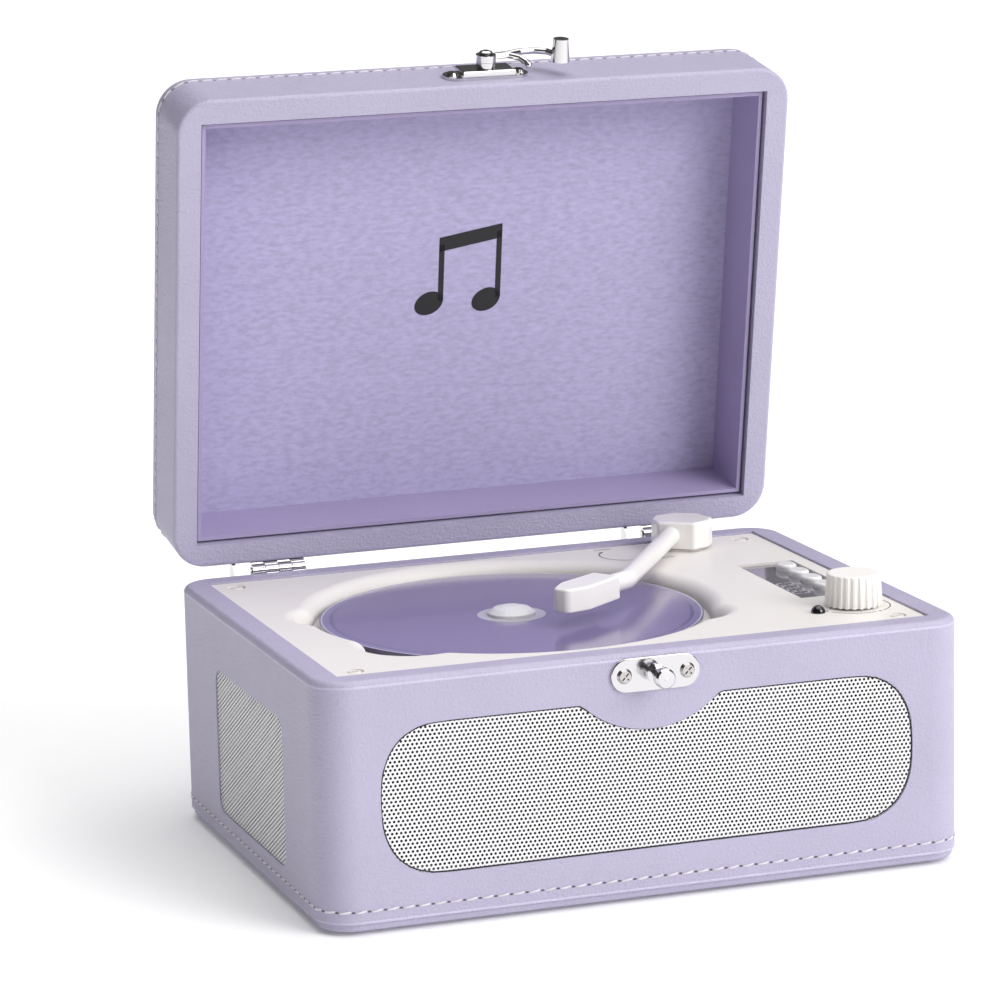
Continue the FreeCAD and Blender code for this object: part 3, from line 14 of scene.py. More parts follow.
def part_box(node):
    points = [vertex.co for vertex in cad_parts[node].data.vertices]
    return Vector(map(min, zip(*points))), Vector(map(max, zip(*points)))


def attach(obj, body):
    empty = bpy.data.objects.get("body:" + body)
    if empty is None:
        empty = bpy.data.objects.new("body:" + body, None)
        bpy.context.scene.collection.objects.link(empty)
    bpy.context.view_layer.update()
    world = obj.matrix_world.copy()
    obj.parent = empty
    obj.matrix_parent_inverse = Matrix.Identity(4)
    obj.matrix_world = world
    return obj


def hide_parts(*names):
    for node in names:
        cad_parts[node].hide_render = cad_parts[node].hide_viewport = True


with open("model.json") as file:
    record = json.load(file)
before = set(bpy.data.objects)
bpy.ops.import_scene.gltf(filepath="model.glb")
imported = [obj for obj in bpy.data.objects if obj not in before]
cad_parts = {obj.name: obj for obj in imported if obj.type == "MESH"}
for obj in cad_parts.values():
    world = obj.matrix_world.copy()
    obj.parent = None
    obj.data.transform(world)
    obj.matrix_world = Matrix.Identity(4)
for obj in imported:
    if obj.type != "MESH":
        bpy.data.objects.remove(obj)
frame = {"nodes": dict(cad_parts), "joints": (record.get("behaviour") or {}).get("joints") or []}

log = logging.getLogger("player")
MM = 0.001

Color = tuple[float, float, float]
Point2 = tuple[float, float]
Point3 = tuple[float, float, float]
Outline = Callable[[float, float], bool]
Socket = bpy.types.NodeSocket


def srgb(red: int, green: int, blue: int) -> Color:
    """Turn an 8-bit display colour into linear light.

    Args:
        red: Red from 0 to 255.
        green: Green from 0 to 255.
        blue: Blue from 0 to 255.

    Returns:
        The three linear values.
    """
    return tuple(((c / 255 + 0.055) / 1.055) ** 2.4 for c in (red, green, blue))


def joint(name: str) -> dict:
    """Return the record's entry for a joint by its name."""
    return next(j for j in frame["joints"] if j["name"] == name)


def lid_opening() -> Matrix:
    """The turn that takes a point drawn with the lid shut to the open lid."""
    pivot = Vector(joint("lid_hinge")["pos_m"])
    angle = -math.radians(joint("lid_hinge")["range_deg"][1])
    turn = Matrix.Rotation(angle, 4, "X")
    return Matrix.Translation(pivot) @ turn @ Matrix.Translation(-pivot)


# --- meshes


def mesh_piece(
    name: str,
    points: Sequence[Sequence[float]],
    faces: Sequence[Sequence[int]],
    smooth: bool = False,
) -> bpy.types.Object:
    """Make a mesh object from points and faces.

    Args:
        name: The object's name.
        points: Corners in metres.
        faces: Lists of corner numbers.
        smooth: Whether to shade the faces smoothly.

    Returns:
        The new object, linked to the scene.
    """
    mesh = bpy.data.meshes.new(name)
    mesh.from_pydata([tuple(p) for p in points], [], [tuple(f) for f in faces])
    mesh.validate()
    piece = bpy.data.objects.new(name, mesh)
    bpy.context.scene.collection.objects.link(piece)
    if smooth:
        for face in mesh.polygons:
            face.use_smooth = True
    return piece


@dataclass
class MeshBuilder:
    """Gathers many small shapes into one mesh."""

    points: list[Vector] = field(default_factory=list)
    faces: list[list[int]] = field(default_factory=list)

    def add(self, points: Iterable[Vector], faces: Iterable[Sequence[int]]) -> None:
        """Add one shape whose faces count from its own first point."""
        start = len(self.points)
        self.points.extend(points)
        self.faces.extend([start + i for i in face] for face in faces)

    def capsule(self, start: Vector, end: Vector, radius: float, out: Vector) -> None:
        """Add a rounded thread that tapers into the surface at both ends.

        Args:
            start: One end.
            end: The other end.
            radius: The thread's radius.
            out: The surface's outward normal.
        """
        along = (end - start).normalized()
        side = along.cross(out).normalized()
        rings = ((0.0, 0.25, -1.0), (0.12, 0.85, -0.2), (0.5, 1.0, 0.25),
                 (0.88, 0.85, -0.2), (1.0, 0.25, -1.0))
        count = 6
        points = []
        for where, size, lift in rings:
            centre = start.lerp(end, where) + out * radius * lift
            for k in range(count):
                turn = 2 * math.pi * k / count
                spoke = side * math.cos(turn) + out * math.sin(turn)
                points.append(centre + spoke * radius * size)
        faces = []
        for ring in range(len(rings) - 1):
            for k in range(count):
                a = ring * count + k
                b = ring * count + (k + 1) % count
                faces.append((a, b, b + count, a + count))
        self.add(points, faces)

    def disc(self, centre: Vector, out: Vector, radius: float, stretch: Vector) -> None:
        """Add a flat oval that lies on a surface.

        Args:
            centre: The oval's centre.
            out: The surface's outward normal.
            radius: Half the short width.
            stretch: The half vector of the long width.
        """
        across = out.cross(stretch).normalized() * radius
        count = 8
        points = []
        for k in range(count):
            turn = 2 * math.pi * k / count
            points.append(centre + stretch * math.cos(turn) + across * math.sin(turn))
        self.add(points, [tuple(range(count))])

    def ribbon(self, path: Sequence[Vector], up: Vector, width: float) -> None:
        """Add a flat line of some width along a path on a level surface.

        Args:
            path: Points along the line's middle.
            up: The surface's normal.
            width: The line's width.
        """
        points = []
        for i, spot in enumerate(path):
            ahead = path[min(i + 1, len(path) - 1)] - path[max(i - 1, 0)]
            side = up.cross(ahead).normalized() * width / 2
            points += [spot - side, spot + side]
        faces = [(2 * i, 2 * i + 2, 2 * i + 3, 2 * i + 1) for i in range(len(path) - 1)]
        self.add(points, faces)

    def slab(self, outline: Sequence[Vector], lift: Vector) -> None:
        """Add a flat plate with side walls, raised from its outline by a vector."""
        count = len(outline)
        points = list(outline) + [p + lift for p in outline]
        faces = [tuple(range(count, 2 * count))]
        for k in range(count):
            after = (k + 1) % count
            faces.append((k, after, count + after, count + k))
        self.add(points, faces)

    def build(self, name: str, smooth: bool = False) -> bpy.types.Object:
        """Turn what was gathered into an object."""
        return mesh_piece(name, self.points, self.faces, smooth)


@dataclass(frozen=True)
class RoundedLoop:
    """A level rectangle with round corners, walked anticlockwise from above."""

    half_x: float
    half_y: float
    radius: float
    height: float

    def length(self) -> float:
        """The distance once round the loop."""
        straight = 4 * (self.half_x + self.half_y - 2 * self.radius)
        return straight + 2 * math.pi * self.radius

    def at(self, distance: float) -> tuple[Vector, Vector, Vector]:
        """Find a point on the loop.

        Args:
            distance: How far to walk from the front edge's left end.

        Returns:
            The point, the direction of travel and the outward normal.
        """
        wide = 2 * (self.half_x - self.radius)
        deep = 2 * (self.half_y - self.radius)
        arc = math.pi * self.radius / 2
        distance %= self.length()
        corner_x, corner_y = self.half_x - self.radius, self.half_y - self.radius
        starts = ((-corner_x, -self.half_y), (self.half_x, -corner_y),
                  (corner_x, self.half_y), (-self.half_x, corner_y))
        centres = ((corner_x, -corner_y), (corner_x, corner_y),
                   (-corner_x, corner_y), (-corner_x, -corner_y))
        for side in range(4):
            run = deep if side % 2 else wide
            heading = side * math.pi / 2
            along = Vector((math.cos(heading), math.sin(heading), 0))
            if distance <= run:
                spot = Vector((*starts[side], self.height)) + along * distance
                return spot, along, Vector((along.y, -along.x, 0))
            distance -= run
            if distance <= arc:
                turn = heading + distance / self.radius
                along = Vector((math.cos(turn), math.sin(turn), 0))
                out = Vector((along.y, -along.x, 0))
                spot = Vector((*centres[side], self.height)) + out * self.radius
                return spot, along, out
            distance -= arc
        return self.at(0.0)


# --- materials


class Graph:
    """A material's nodes, with short ways to add and join them."""

    def __init__(self, name: str) -> None:
        """Start a material with one Principled shader."""
        self.material = bpy.data.materials.new(name)
        self.material.use_nodes = True
        self.tree = self.material.node_tree
        self.shader = self.tree.nodes["Principled BSDF"]
        self.place = self.add("ShaderNodeTexCoord").outputs["Object"]

    def add(self, kind: str, **settings: object) -> bpy.types.Node:
        """Add a node of a kind and set its own properties."""
        node = self.tree.nodes.new(kind)
        for key, value in settings.items():
            setattr(node, key, value)
        return node

    def feed(self, node: bpy.types.Node, socket: str | int, value: object) -> None:
        """Link an output to a socket, or set the socket to a plain value."""
        target = node.inputs[socket]
        if isinstance(value, Socket):
            self.tree.links.new(value, target)
        elif isinstance(value, tuple) and target.type == "RGBA":
            target.default_value = (*value, 1.0)
        else:
            target.default_value = value

    def set(self, **values: object) -> None:
        """Feed the shader's sockets, named with underscores for spaces."""
        for key, value in values.items():
            self.feed(self.shader, key.replace("_", " "), value)

    def stretched(self, scale: Sequence[float]) -> Socket:
        """The object's coordinates, multiplied axis by axis."""
        node = self.add("ShaderNodeMapping")
        self.feed(node, "Vector", self.place)
        node.inputs["Scale"].default_value = scale
        return node.outputs[0]

    def noise(self, scale: float, detail: float = 3.0, where: Socket | None = None) -> Socket:
        """Cloudy noise with a scale per metre."""
        node = self.add("ShaderNodeTexNoise")
        self.feed(node, "Vector", where or self.place)
        self.feed(node, "Scale", scale)
        self.feed(node, "Detail", detail)
        return node.outputs["Fac"]

    def cells(self, scale: float) -> Socket:
        """The distance to the nearest of many scattered points."""
        node = self.add("ShaderNodeTexVoronoi", feature="SMOOTH_F1")
        self.feed(node, "Vector", self.place)
        self.feed(node, "Scale", scale)
        self.feed(node, "Smoothness", 0.35)
        return node.outputs["Distance"]

    def math(self, kind: str, first: object, second: object = 0.0) -> Socket:
        """One arithmetic step on two values."""
        node = self.add("ShaderNodeMath", operation=kind)
        self.feed(node, 0, first)
        self.feed(node, 1, second)
        return node.outputs[0]

    def ramp(self, value: Socket, stops: Sequence[tuple[float, Color]]) -> Socket:
        """Turn a value into a colour by way of a list of stops."""
        node = self.add("ShaderNodeValToRGB")
        self.feed(node, "Fac", value)
        band = node.color_ramp
        while len(band.elements) < len(stops):
            band.elements.new(1.0)
        for element, (where, color) in zip(band.elements, stops):
            element.position = where
            element.color = (*color, 1.0)
        return node.outputs[0]

    def level(self, value: Socket, low: float, high: float) -> Socket:
        """Spread a value from 0 to 1 over the range from low to high."""
        node = self.add("ShaderNodeMapRange")
        self.feed(node, "Value", value)
        self.feed(node, "To Min", low)
        self.feed(node, "To Max", high)
        return node.outputs[0]

    def mix(self, share: object, first: object, second: object) -> Socket:
        """Blend two colours."""
        node = self.add("ShaderNodeMix", data_type="RGBA")
        self.feed(node, 0, share)
        self.feed(node, 6, first)
        self.feed(node, 7, second)
        return node.outputs[2]

    def bump(
        self, height: Socket, depth: float, strength: float = 1.0, under: Socket | None = None
    ) -> Socket:
        """Raise a surface's normal by a height map.

        Args:
            height: The map, from 0 to 1.
            depth: The height of 1, in metres.
            strength: How much of it to use.
            under: A normal that this one is laid over.

        Returns:
            The new normal.
        """
        node = self.add("ShaderNodeBump")
        self.feed(node, "Height", height)
        self.feed(node, "Distance", depth)
        self.feed(node, "Strength", strength)
        if under is not None:
            self.feed(node, "Normal", under)
        return node.outputs[0]


@dataclass(frozen=True)
class Finish:
    """A surface finish with one colour and a fine texture."""

    name: str
    color: Color
    roughness: float = 0.5

    def build(self) -> bpy.types.Material:
        """Make the material."""
        graph = Graph(self.name)
        graph.set(Base_Color=self.color, Roughness=self.roughness)
        self.texture(graph)
        return graph.material

    def tone(self, share: float) -> Color:
        """The finish's colour, darker or paler by a share."""
        return tuple(min(c * share, 1.0) for c in self.color)

    def texture(self, graph: Graph) -> None:
        """Add what makes this finish more than a flat colour."""
        graph.set(Base_Color=graph.mix(graph.noise(60.0), self.color, self.tone(0.93)))


@dataclass(frozen=True)
class Leatherette(Finish):
    """Soft embossed covering with a fine pebbled grain and long faint creases."""

    grain: float = 1150.0
    relief: float = 0.30 * MM

    def texture(self, graph: Graph) -> None:
        """Emboss the grain and vary the colour a little."""
        pebbles = graph.cells(self.grain)
        creases = graph.noise(640.0, 3.0, graph.stretched((0.34, 0.34, 1.35)))
        folds = graph.level(graph.math("ABSOLUTE", graph.math("SUBTRACT", creases, 0.5)), 0.0, 4.0)
        height = graph.math("ADD", graph.math("MULTIPLY", pebbles, 0.55),
                            graph.math("MULTIPLY", folds, 0.34))
        normal = graph.bump(height, self.relief, 0.8)
        deep = self.tone(0.90)
        tone = graph.mix(graph.noise(35.0, 4.0), deep, self.tone(1.07))
        tone = graph.mix(graph.level(pebbles, 0.0, 0.5), tone, deep)
        graph.set(Base_Color=tone, Normal=normal,
                  Roughness=graph.level(creases, self.roughness - 0.08,
                                        self.roughness + 0.08))
        graph.set(Specular_IOR_Level=0.55)


@dataclass(frozen=True)
class MouldedPlastic(Finish):
    """Injection-moulded plastic with a faint spark-eroded texture."""

    grain: float = 2600.0
    relief: float = 0.012 * MM
    coat: float = 0.0

    def texture(self, graph: Graph) -> None:
        """Add the mould's texture and slight unevenness."""
        height = graph.noise(self.grain, 2.0)
        slow = graph.noise(45.0, 2.0)
        graph.set(
            Base_Color=graph.mix(slow, self.color, self.tone(0.965)),
            Normal=graph.bump(height, self.relief, 0.6),
            Roughness=graph.level(slow, self.roughness - 0.03, self.roughness + 0.05),
            Coat_Weight=self.coat,
            Coat_Roughness=0.12,
        )


@dataclass(frozen=True)
class Plated(Finish):
    """Polished nickel plate with faint polishing lines."""

    def texture(self, graph: Graph) -> None:
        """Add polishing marks and small smudges."""
        marks = graph.noise(900.0, 2.0, graph.stretched((0.15, 1.0, 1.0)))
        smudge = graph.noise(120.0, 3.0)
        graph.set(
            Metallic=1.0,
            Roughness=graph.level(smudge, self.roughness, self.roughness + 0.10),
            Normal=graph.bump(marks, 0.01 * MM, 0.25),
        )


@dataclass(frozen=True)
class PaintedSheet(Finish):
    """Powder-coated steel sheet."""

    def texture(self, graph: Graph) -> None:
        """Add the coating's orange-peel surface."""
        peel = graph.noise(3000.0, 2.0)
        cloud = graph.noise(30.0, 2.0)
        graph.set(
            Base_Color=graph.mix(cloud, self.color, self.tone(0.96)),
            Normal=graph.bump(peel, 0.02 * MM, 0.4),
            Metallic=0.0,
        )


@dataclass(frozen=True)
class Felt(Finish):
    """Mottled short-pile lining cloth."""

    mottle: float = 0.16

    def texture(self, graph: Graph) -> None:
        """Mottle the colour and roughen the pile."""
        blotch = graph.noise(560.0, 5.0, graph.stretched((0.6, 1.5, 1.5)))
        fibre = graph.noise(2600.0, 3.0, graph.stretched((0.5, 1.0, 1.0)))
        light = self.tone(1 + self.mottle * 0.8)
        stops = [(0.32, self.tone(1 - self.mottle)), (0.52, self.color), (0.72, light)]
        graph.set(
            Base_Color=graph.mix(graph.level(fibre, 0.0, 0.35), graph.ramp(blotch, stops), light),
            Normal=graph.bump(fibre, 0.08 * MM, 0.5, graph.bump(blotch, 0.05 * MM, 0.4)),
            Sheen_Weight=0.2,
            Sheen_Roughness=0.5,
        )


@dataclass(frozen=True)
class DiscPrint(Finish):
    """A printed disc: clear rim, pale outer band, fine dotted ring and field, with a dark line at
    the very edge as painted shade.
    """

    centre: Point2 = (0.0, 0.0)
    band: Color = (0.5, 0.45, 0.6)
    dots_and_edge_shade: Color = (0.1, 0.08, 0.2)
    clear: Color = (0.8, 0.8, 0.85)
    disc_radius: float = 0.06

    def texture(self, graph: Graph) -> None:
        """Lay the rings out by their distance from the spindle."""
        parts = graph.add("ShaderNodeSeparateXYZ")
        graph.feed(parts, 0, graph.place)
        dx = graph.math("SUBTRACT", parts.outputs[0], self.centre[0])
        dy = graph.math("SUBTRACT", parts.outputs[1], self.centre[1])
        radius = graph.math("SQRT", graph.math(
            "ADD", graph.math("MULTIPLY", dx, dx), graph.math("MULTIPLY", dy, dy)))
        share = graph.math("DIVIDE", radius, self.disc_radius)
        rings = graph.ramp(share, [
            (0.0, self.clear), (0.179, self.clear), (0.182, self.dots_and_edge_shade), (0.185, self.dots_and_edge_shade),
            (0.188, self.color),
            (0.945, self.color), (0.950, self.band), (0.984, self.band), (0.987, self.clear),
            # The last stop darkens the disc's very edge as painted shade.
            (0.993, self.clear), (0.997, self.dots_and_edge_shade),
        ])
        angle = graph.math("ARCTAN2", dy, dx)
        beads = graph.math("SINE", graph.math("MULTIPLY", angle, 260.0))
        near = graph.math("ABSOLUTE", graph.math("SUBTRACT", radius, 56.4 * MM))
        on_ring = graph.math("LESS_THAN", near, 0.5 * MM)
        spot = graph.math("MULTIPLY", on_ring, graph.math("GREATER_THAN", beads, -0.2))
        tone = graph.mix(graph.math("MULTIPLY", spot, 0.9), rings, self.dots_and_edge_shade)
        grooves = graph.math("SINE", graph.math("MULTIPLY", radius, 30000.0))
        graph.set(
            Base_Color=tone,
            Normal=graph.bump(grooves, 0.004 * MM, 0.12),
            Coat_Weight=0.6,
            Coat_Roughness=0.13,
        )


@dataclass(frozen=True)
class ClearPlastic(Finish):
    """Clear moulded plastic."""

    def texture(self, graph: Graph) -> None:
        """Let part of the light through."""
        ripple = graph.noise(260.0, 2.0)
        graph.set(Transmission_Weight=0.15, IOR=1.45,
                  Normal=graph.bump(ripple, 0.15 * MM, 0.5))


@dataclass(frozen=True)
class Board(Finish):
    """Circuit board or fibreboard with a speckled surface."""

    speck: Color = (0.3, 0.3, 0.2)

    def texture(self, graph: Graph) -> None:
        """Speckle the board."""
        specks = graph.noise(700.0, 4.0)
        graph.set(
            Base_Color=graph.ramp(specks, [(0.45, self.color), (0.75, self.speck)]),
            Normal=graph.bump(specks, 0.03 * MM, 0.5),
        )


class Surface(Enum):
    """The finishes of the player, one per kind of surface."""

    LEATHER = Leatherette("leatherette_cover", srgb(180, 174, 199), 0.46)
    # A paler, glossier copy of the cover leatherette: painted highlight along the fold ridges.
    FOLD_HIGHLIGHT = Leatherette("leatherette_fold_painted_highlight", srgb(196, 190, 216), 0.36)
    LINING = Leatherette("lid_wall_lining", srgb(170, 158, 194), 0.6, 1500.0, 0.12 * MM)
    PANEL = Felt("lid_felt", srgb(176, 169, 202), 0.9)
    DECK = MouldedPlastic("deck_plastic", srgb(233, 229, 225), 0.42)
    ARM = MouldedPlastic("arm_plastic", srgb(242, 239, 237), 0.28, 1500.0, 0.004 * MM, 0.25)
    KNOB = MouldedPlastic("knob_plastic", srgb(250, 247, 243), 0.38)
    BUTTON = MouldedPlastic("button_plastic", srgb(240, 238, 238), 0.25, coat=0.3)
    DISPLAY = MouldedPlastic("smoked_window", srgb(120, 116, 124), 0.08, 900.0, 0.001 * MM, 0.6)
    SENSOR = MouldedPlastic("sensor_black", srgb(16, 16, 20), 0.06, 900.0, 0.001 * MM, 0.8)
    CHROME = Plated("nickel_plate", srgb(214, 212, 214), 0.07)
    SCREW = Plated("screw_plate", srgb(196, 192, 190), 0.18)
    ZINC = Plated("zinc_plate", srgb(168, 170, 174), 0.4)
    GRILLE = PaintedSheet("grille_paint", srgb(233, 232, 234), 0.45)
    # Near-black for the grille's hole walls: painted shade inside the holes.
    HOLE_SHADE = Finish("hole_wall_painted_shade", srgb(40, 39, 41), 0.7)
    BLACK = MouldedPlastic("black_plastic", srgb(26, 26, 29), 0.5)
    RUBBER = MouldedPlastic("foot_rubber", srgb(24, 24, 25), 0.85, 1800.0, 0.05 * MM)
    BAFFLE = Board("black_board", srgb(22, 21, 22), 0.9, srgb(34, 33, 34))
    WOOD = Board("fibreboard", srgb(170, 140, 105), 0.85, srgb(120, 95, 66))
    CIRCUIT = Board("circuit_board", srgb(24, 82, 48), 0.45, srgb(44, 110, 66))
    CONE = Felt("speaker_cone", srgb(40, 40, 43), 0.9)
    HUB = ClearPlastic("clear_hub", srgb(246, 245, 248), 0.1)
    OPTIC = MouldedPlastic("lens_coating", srgb(70, 84, 150), 0.05, coat=0.8)
    THREAD = Felt("stitch_thread", srgb(222, 216, 222), 0.8)
    # Dark ovals between stitches: painted shade in the needle holes.
    NEEDLE_HOLE_SHADE = Finish("needle_hole_painted_shade", srgb(96, 86, 104), 0.9)
    PRINT = Finish("printed_ink", srgb(66, 64, 72), 0.6)
    LIT = Finish("display_digits", srgb(206, 206, 212), 0.5)
    EMBLEM = Finish("emblem_ink", srgb(24, 23, 27), 0.55)


class Wardrobe:
    """Builds each finish once and puts it on pieces and CAD nodes."""

    def __init__(self) -> None:
        """Start with no material built."""
        self.built: dict[str, bpy.types.Material] = {}

    def material(self, finish: Finish) -> bpy.types.Material:
        """Build a finish, or return it if it was built before."""
        if finish.name not in self.built:
            self.built[finish.name] = finish.build()
        return self.built[finish.name]

    def dress(self, piece: bpy.types.Object, finish: Finish) -> bpy.types.Object:
        """Give a piece one finish all over."""
        piece.data.materials.clear()
        piece.data.materials.append(self.material(finish))
        return piece

    def dress_nodes(self, finish: Finish, *names: str) -> None:
        """Give CAD nodes a finish by assigning to their material slots."""
        for name in names:
            node = frame["nodes"][name]
            if not node.material_slots:
                node.data.materials.append(None)
            for slot in node.material_slots:
                slot.material = self.material(finish)
            log.info("dressed %s in %s", name, finish.name)


def mount(piece: bpy.types.Object, body: str) -> bpy.types.Object:
    """Put a piece on a body.

    Args:
        piece: The piece, already in place.
        body: The CAD body that it rides on.

    Returns:
        The same piece.
    """
    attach(piece, body)
    log.info("made %s on %s", piece.name, body)
    return piece


# --- sub-assemblies


@dataclass(frozen=True)
class Flag:
    """An upright black cloth that faces the player and draws lines in the metal."""

    name: str
    centre: Point3
    half_wide: float
    half_tall: float
    shades: bool = False

    def build(self, cloth: bpy.types.Material) -> None:
        """Hang the cloth where glossy surfaces see it.

        Args:
            cloth: Its material.
        """
        middle = Vector(self.centre)
        inward = Vector((-middle.x, -middle.y, 0)).normalized()
        side = inward.cross(Vector((0, 0, 1))) * self.half_wide
        rise = Vector((0, 0, self.half_tall))
        points = [middle - side - rise, middle + side - rise,
                  middle + side + rise, middle - side + rise]
        flag = mesh_piece(self.name, points, [(0, 1, 2, 3)])
        flag.data.materials.append(cloth)
        flag.visible_camera = False
        flag.visible_diffuse = self.shades
        flag.visible_shadow = False


@dataclass(frozen=True)
class Lamp:
    """A light that points at the origin."""

    name: str
    kind: str
    spot: Point3
    power: float
    size: float

    def build(self) -> None:
        """Hang the lamp; a sun's size is its spread in degrees."""
        data = bpy.data.lights.new(self.name, self.kind)
        data.energy = self.power
        if self.kind == "SUN":
            data.angle = math.radians(self.size)
        else:
            data.size = self.size
        lamp = bpy.data.objects.new(self.name, data)
        lamp.location = self.spot
        lamp.rotation_euler = (-Vector(self.spot)).to_track_quat("-Z", "Y").to_euler()
        bpy.context.scene.collection.objects.link(lamp)


@dataclass
class Studio:
    """The floor, the soft lights and the camera."""

    camera_spot: Point3 = (-0.44653, -1.23082, 0.36872)
    yaw: float = math.radians(19.156)
    pitch: float = math.radians(11.282)
    roll: float = math.radians(-1.323)
    lens: float = 154.336
    floor_size: float = 12.0
    room_level: float = 0.4
    room_gloss: float = 0.1
    floor_glow: float = 0.1
    lamps: tuple[Lamp, ...] = (
        Lamp("key_light", "SUN", (0.55, -0.75, 0.50), 1.35, 38.0),
        Lamp("top_light", "SUN", (0.20, 0.05, 1.0), 1.85, 70.0),
        Lamp("soft_box", "AREA", (0.85, -1.25, 0.95), 5.8, 1.0),
    )
    flags: tuple[Flag, ...] = (
        Flag("left_flag", (-1.0, -0.15, 0.75), 0.90, 0.62, shades=True),
        Flag("right_flag", (1.25, -0.35, 0.7), 0.28, 0.60),
        Flag("front_flag", (0.15, -2.2, 0.95), 0.30, 0.35),
        Flag("high_flag", (-0.5, 0.4, 1.5), 0.30, 0.30),
    )

    def build(self) -> None:
        """Set up the whole studio."""
        self.build_camera()
        self.build_floor()
        self.build_lights()

    def build_camera(self) -> None:
        """Place the camera and make it the scene's own."""
        ahead = Vector((
            math.sin(self.yaw) * math.cos(self.pitch),
            math.cos(self.yaw) * math.cos(self.pitch),
            -math.sin(self.pitch),
        ))
        right = Vector((math.cos(self.yaw), -math.sin(self.yaw), 0))
        up = right.cross(ahead)
        across = right * math.cos(self.roll) + up * math.sin(self.roll)
        upward = up * math.cos(self.roll) - right * math.sin(self.roll)
        data = bpy.data.cameras.new("camera")
        data.lens = self.lens
        data.sensor_width = 36.0
        data.clip_end = 50.0
        camera = bpy.data.objects.new("camera", data)
        rows = Matrix((across, upward, -ahead)).transposed().to_4x4()
        camera.matrix_world = Matrix.Translation(Vector(self.camera_spot)) @ rows
        bpy.context.scene.collection.objects.link(camera)
        bpy.context.scene.camera = camera

    def build_floor(self) -> None:
        """Lay a pale floor under the feet."""
        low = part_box("rubber_feet")[0].z
        half = self.floor_size / 2
        corners = [(-half, -half, low), (half, -half, low), (half, half, low), (-half, half, low)]
        floor = mesh_piece("floor", corners, [(0, 1, 2, 3)])
        graph = Graph("floor_paper")
        graph.set(Base_Color=graph.mix(graph.noise(4.0), (0.975,) * 3, (0.96,) * 3),
                  Roughness=0.95, Specular_IOR_Level=0.1,
                  Emission_Color=(1.0, 1.0, 1.0), Emission_Strength=self.floor_glow)
        floor.data.materials.append(graph.material)

    def build_lights(self) -> None:
        """Add the bright room, the lamps and the black flags."""
        self.build_room()
        for lamp in self.lamps:
            lamp.build()
        cloth = Graph("flag_cloth")
        cloth.set(Base_Color=cloth.mix(cloth.noise(30.0), (0.015,) * 3, (0.03,) * 3),
                  Roughness=0.95)
        for flag in self.flags:
            flag.build(cloth.material)
        settings = bpy.context.scene.view_settings
        settings.view_transform = "Standard"
        settings.look = "None"

    def build_room(self) -> None:
        """Fill the room with white light, dimmer where glossy surfaces look at it."""
        world = bpy.data.worlds.new("room")
        world.use_nodes = True
        room = world.node_tree.nodes["Background"]
        room.inputs["Color"].default_value = (1.0, 1.0, 1.0, 1.0)
        path = world.node_tree.nodes.new("ShaderNodeLightPath")
        level = world.node_tree.nodes.new("ShaderNodeMapRange")
        level.inputs["To Min"].default_value = self.room_level
        level.inputs["To Max"].default_value = self.room_gloss
        world.node_tree.links.new(path.outputs["Is Glossy Ray"], level.inputs["Value"])
        world.node_tree.links.new(level.outputs[0], room.inputs["Strength"])
        bpy.context.scene.world = world


@dataclass
class StitchLine:
    """A run of slanted thread stitches round a loop, with dark ovals between them as painted shade
    in the needle holes.
    """

    name: str
    body: str
    loop: RoundedLoop
    pitch: float = 4.9 * MM
    thread: float = 0.34 * MM
    length: float = 3.7 * MM
    slant: float = math.radians(9)
    lift: float = 0.12 * MM
    hole_lift: float = 0.03 * MM
    hole_radius: float = 0.34 * MM
    hole_reach: float = 0.62 * MM
    turn: Matrix = field(default_factory=lambda: Matrix.Identity(4))

    def build(self, wardrobe: Wardrobe) -> None:
        """Sew the thread and lay dark ovals of painted shade where the needle holes are."""
        threads, holes = MeshBuilder(), MeshBuilder()
        count = round(self.loop.length() / self.pitch)
        step = self.loop.length() / count
        up = Vector((0, 0, 1))
        for k in range(count):
            spot, along, out = self.loop.at(k * step)
            lean = along * math.cos(self.slant) + up * math.sin(self.slant)
            half = lean * self.length / 2
            spot = spot + out * self.lift
            threads.capsule(spot - half, spot + half, self.thread, out)
            # A flat dark oval between stitches is painted shade in the needle hole.
            gap, gap_along, gap_out = self.loop.at((k + 0.5) * step)
            holes.disc(gap + gap_out * self.hole_lift, gap_out, self.hole_radius,
                       gap_along * self.hole_reach)
        for builder, suffix, finish in ((threads, "thread", Surface.THREAD),
                                        (holes, "holes", Surface.NEEDLE_HOLE_SHADE)):
            piece = builder.build(f"{self.name}_{suffix}", smooth=builder is threads)
            piece.data.transform(self.turn)
            wardrobe.dress(piece, finish.value)
            mount(piece, self.body)


@dataclass
class FoldHighlightRidge:
    """A low ridge in the case's leatherette where it is turned over an edge, painted paler as a
    highlight.
    """

    name: str
    loop: RoundedLoop
    width: float = 0.9 * MM
    height: float = 0.16 * MM

    def build(self, wardrobe: Wardrobe) -> None:
        """Sweep a low arched section once round the loop."""
        section = ((-1.0, -0.4), (-0.5, 0.7), (0.0, 1.0), (0.5, 0.7), (1.0, -0.4))
        count = 260
        points: list[Vector] = []
        for k in range(count):
            spot, _, out = self.loop.at(self.loop.length() * k / count)
            for rise, lift in section:
                across = Vector((0, 0, rise * self.width / 2))
                points.append(spot + across + out * lift * self.height)
        faces = []
        size = len(section)
        for k in range(count):
            after = (k + 1) % count
            for j in range(size - 1):
                faces.append((k * size + j, after * size + j,
                              after * size + j + 1, k * size + j + 1))
        piece = mesh_piece(self.name, points, faces, smooth=True)
        # The paler leatherette on the ridge is a painted highlight.
        wardrobe.dress(piece, Surface.FOLD_HIGHLIGHT.value)
        mount(piece, "base")


class SheetSide(Enum):
    """Which wall of the case a grille is in, with its outward normal."""

    FRONT = Vector((0, -1, 0))
    LEFT = Vector((-1, 0, 0))
    RIGHT = Vector((1, 0, 0))


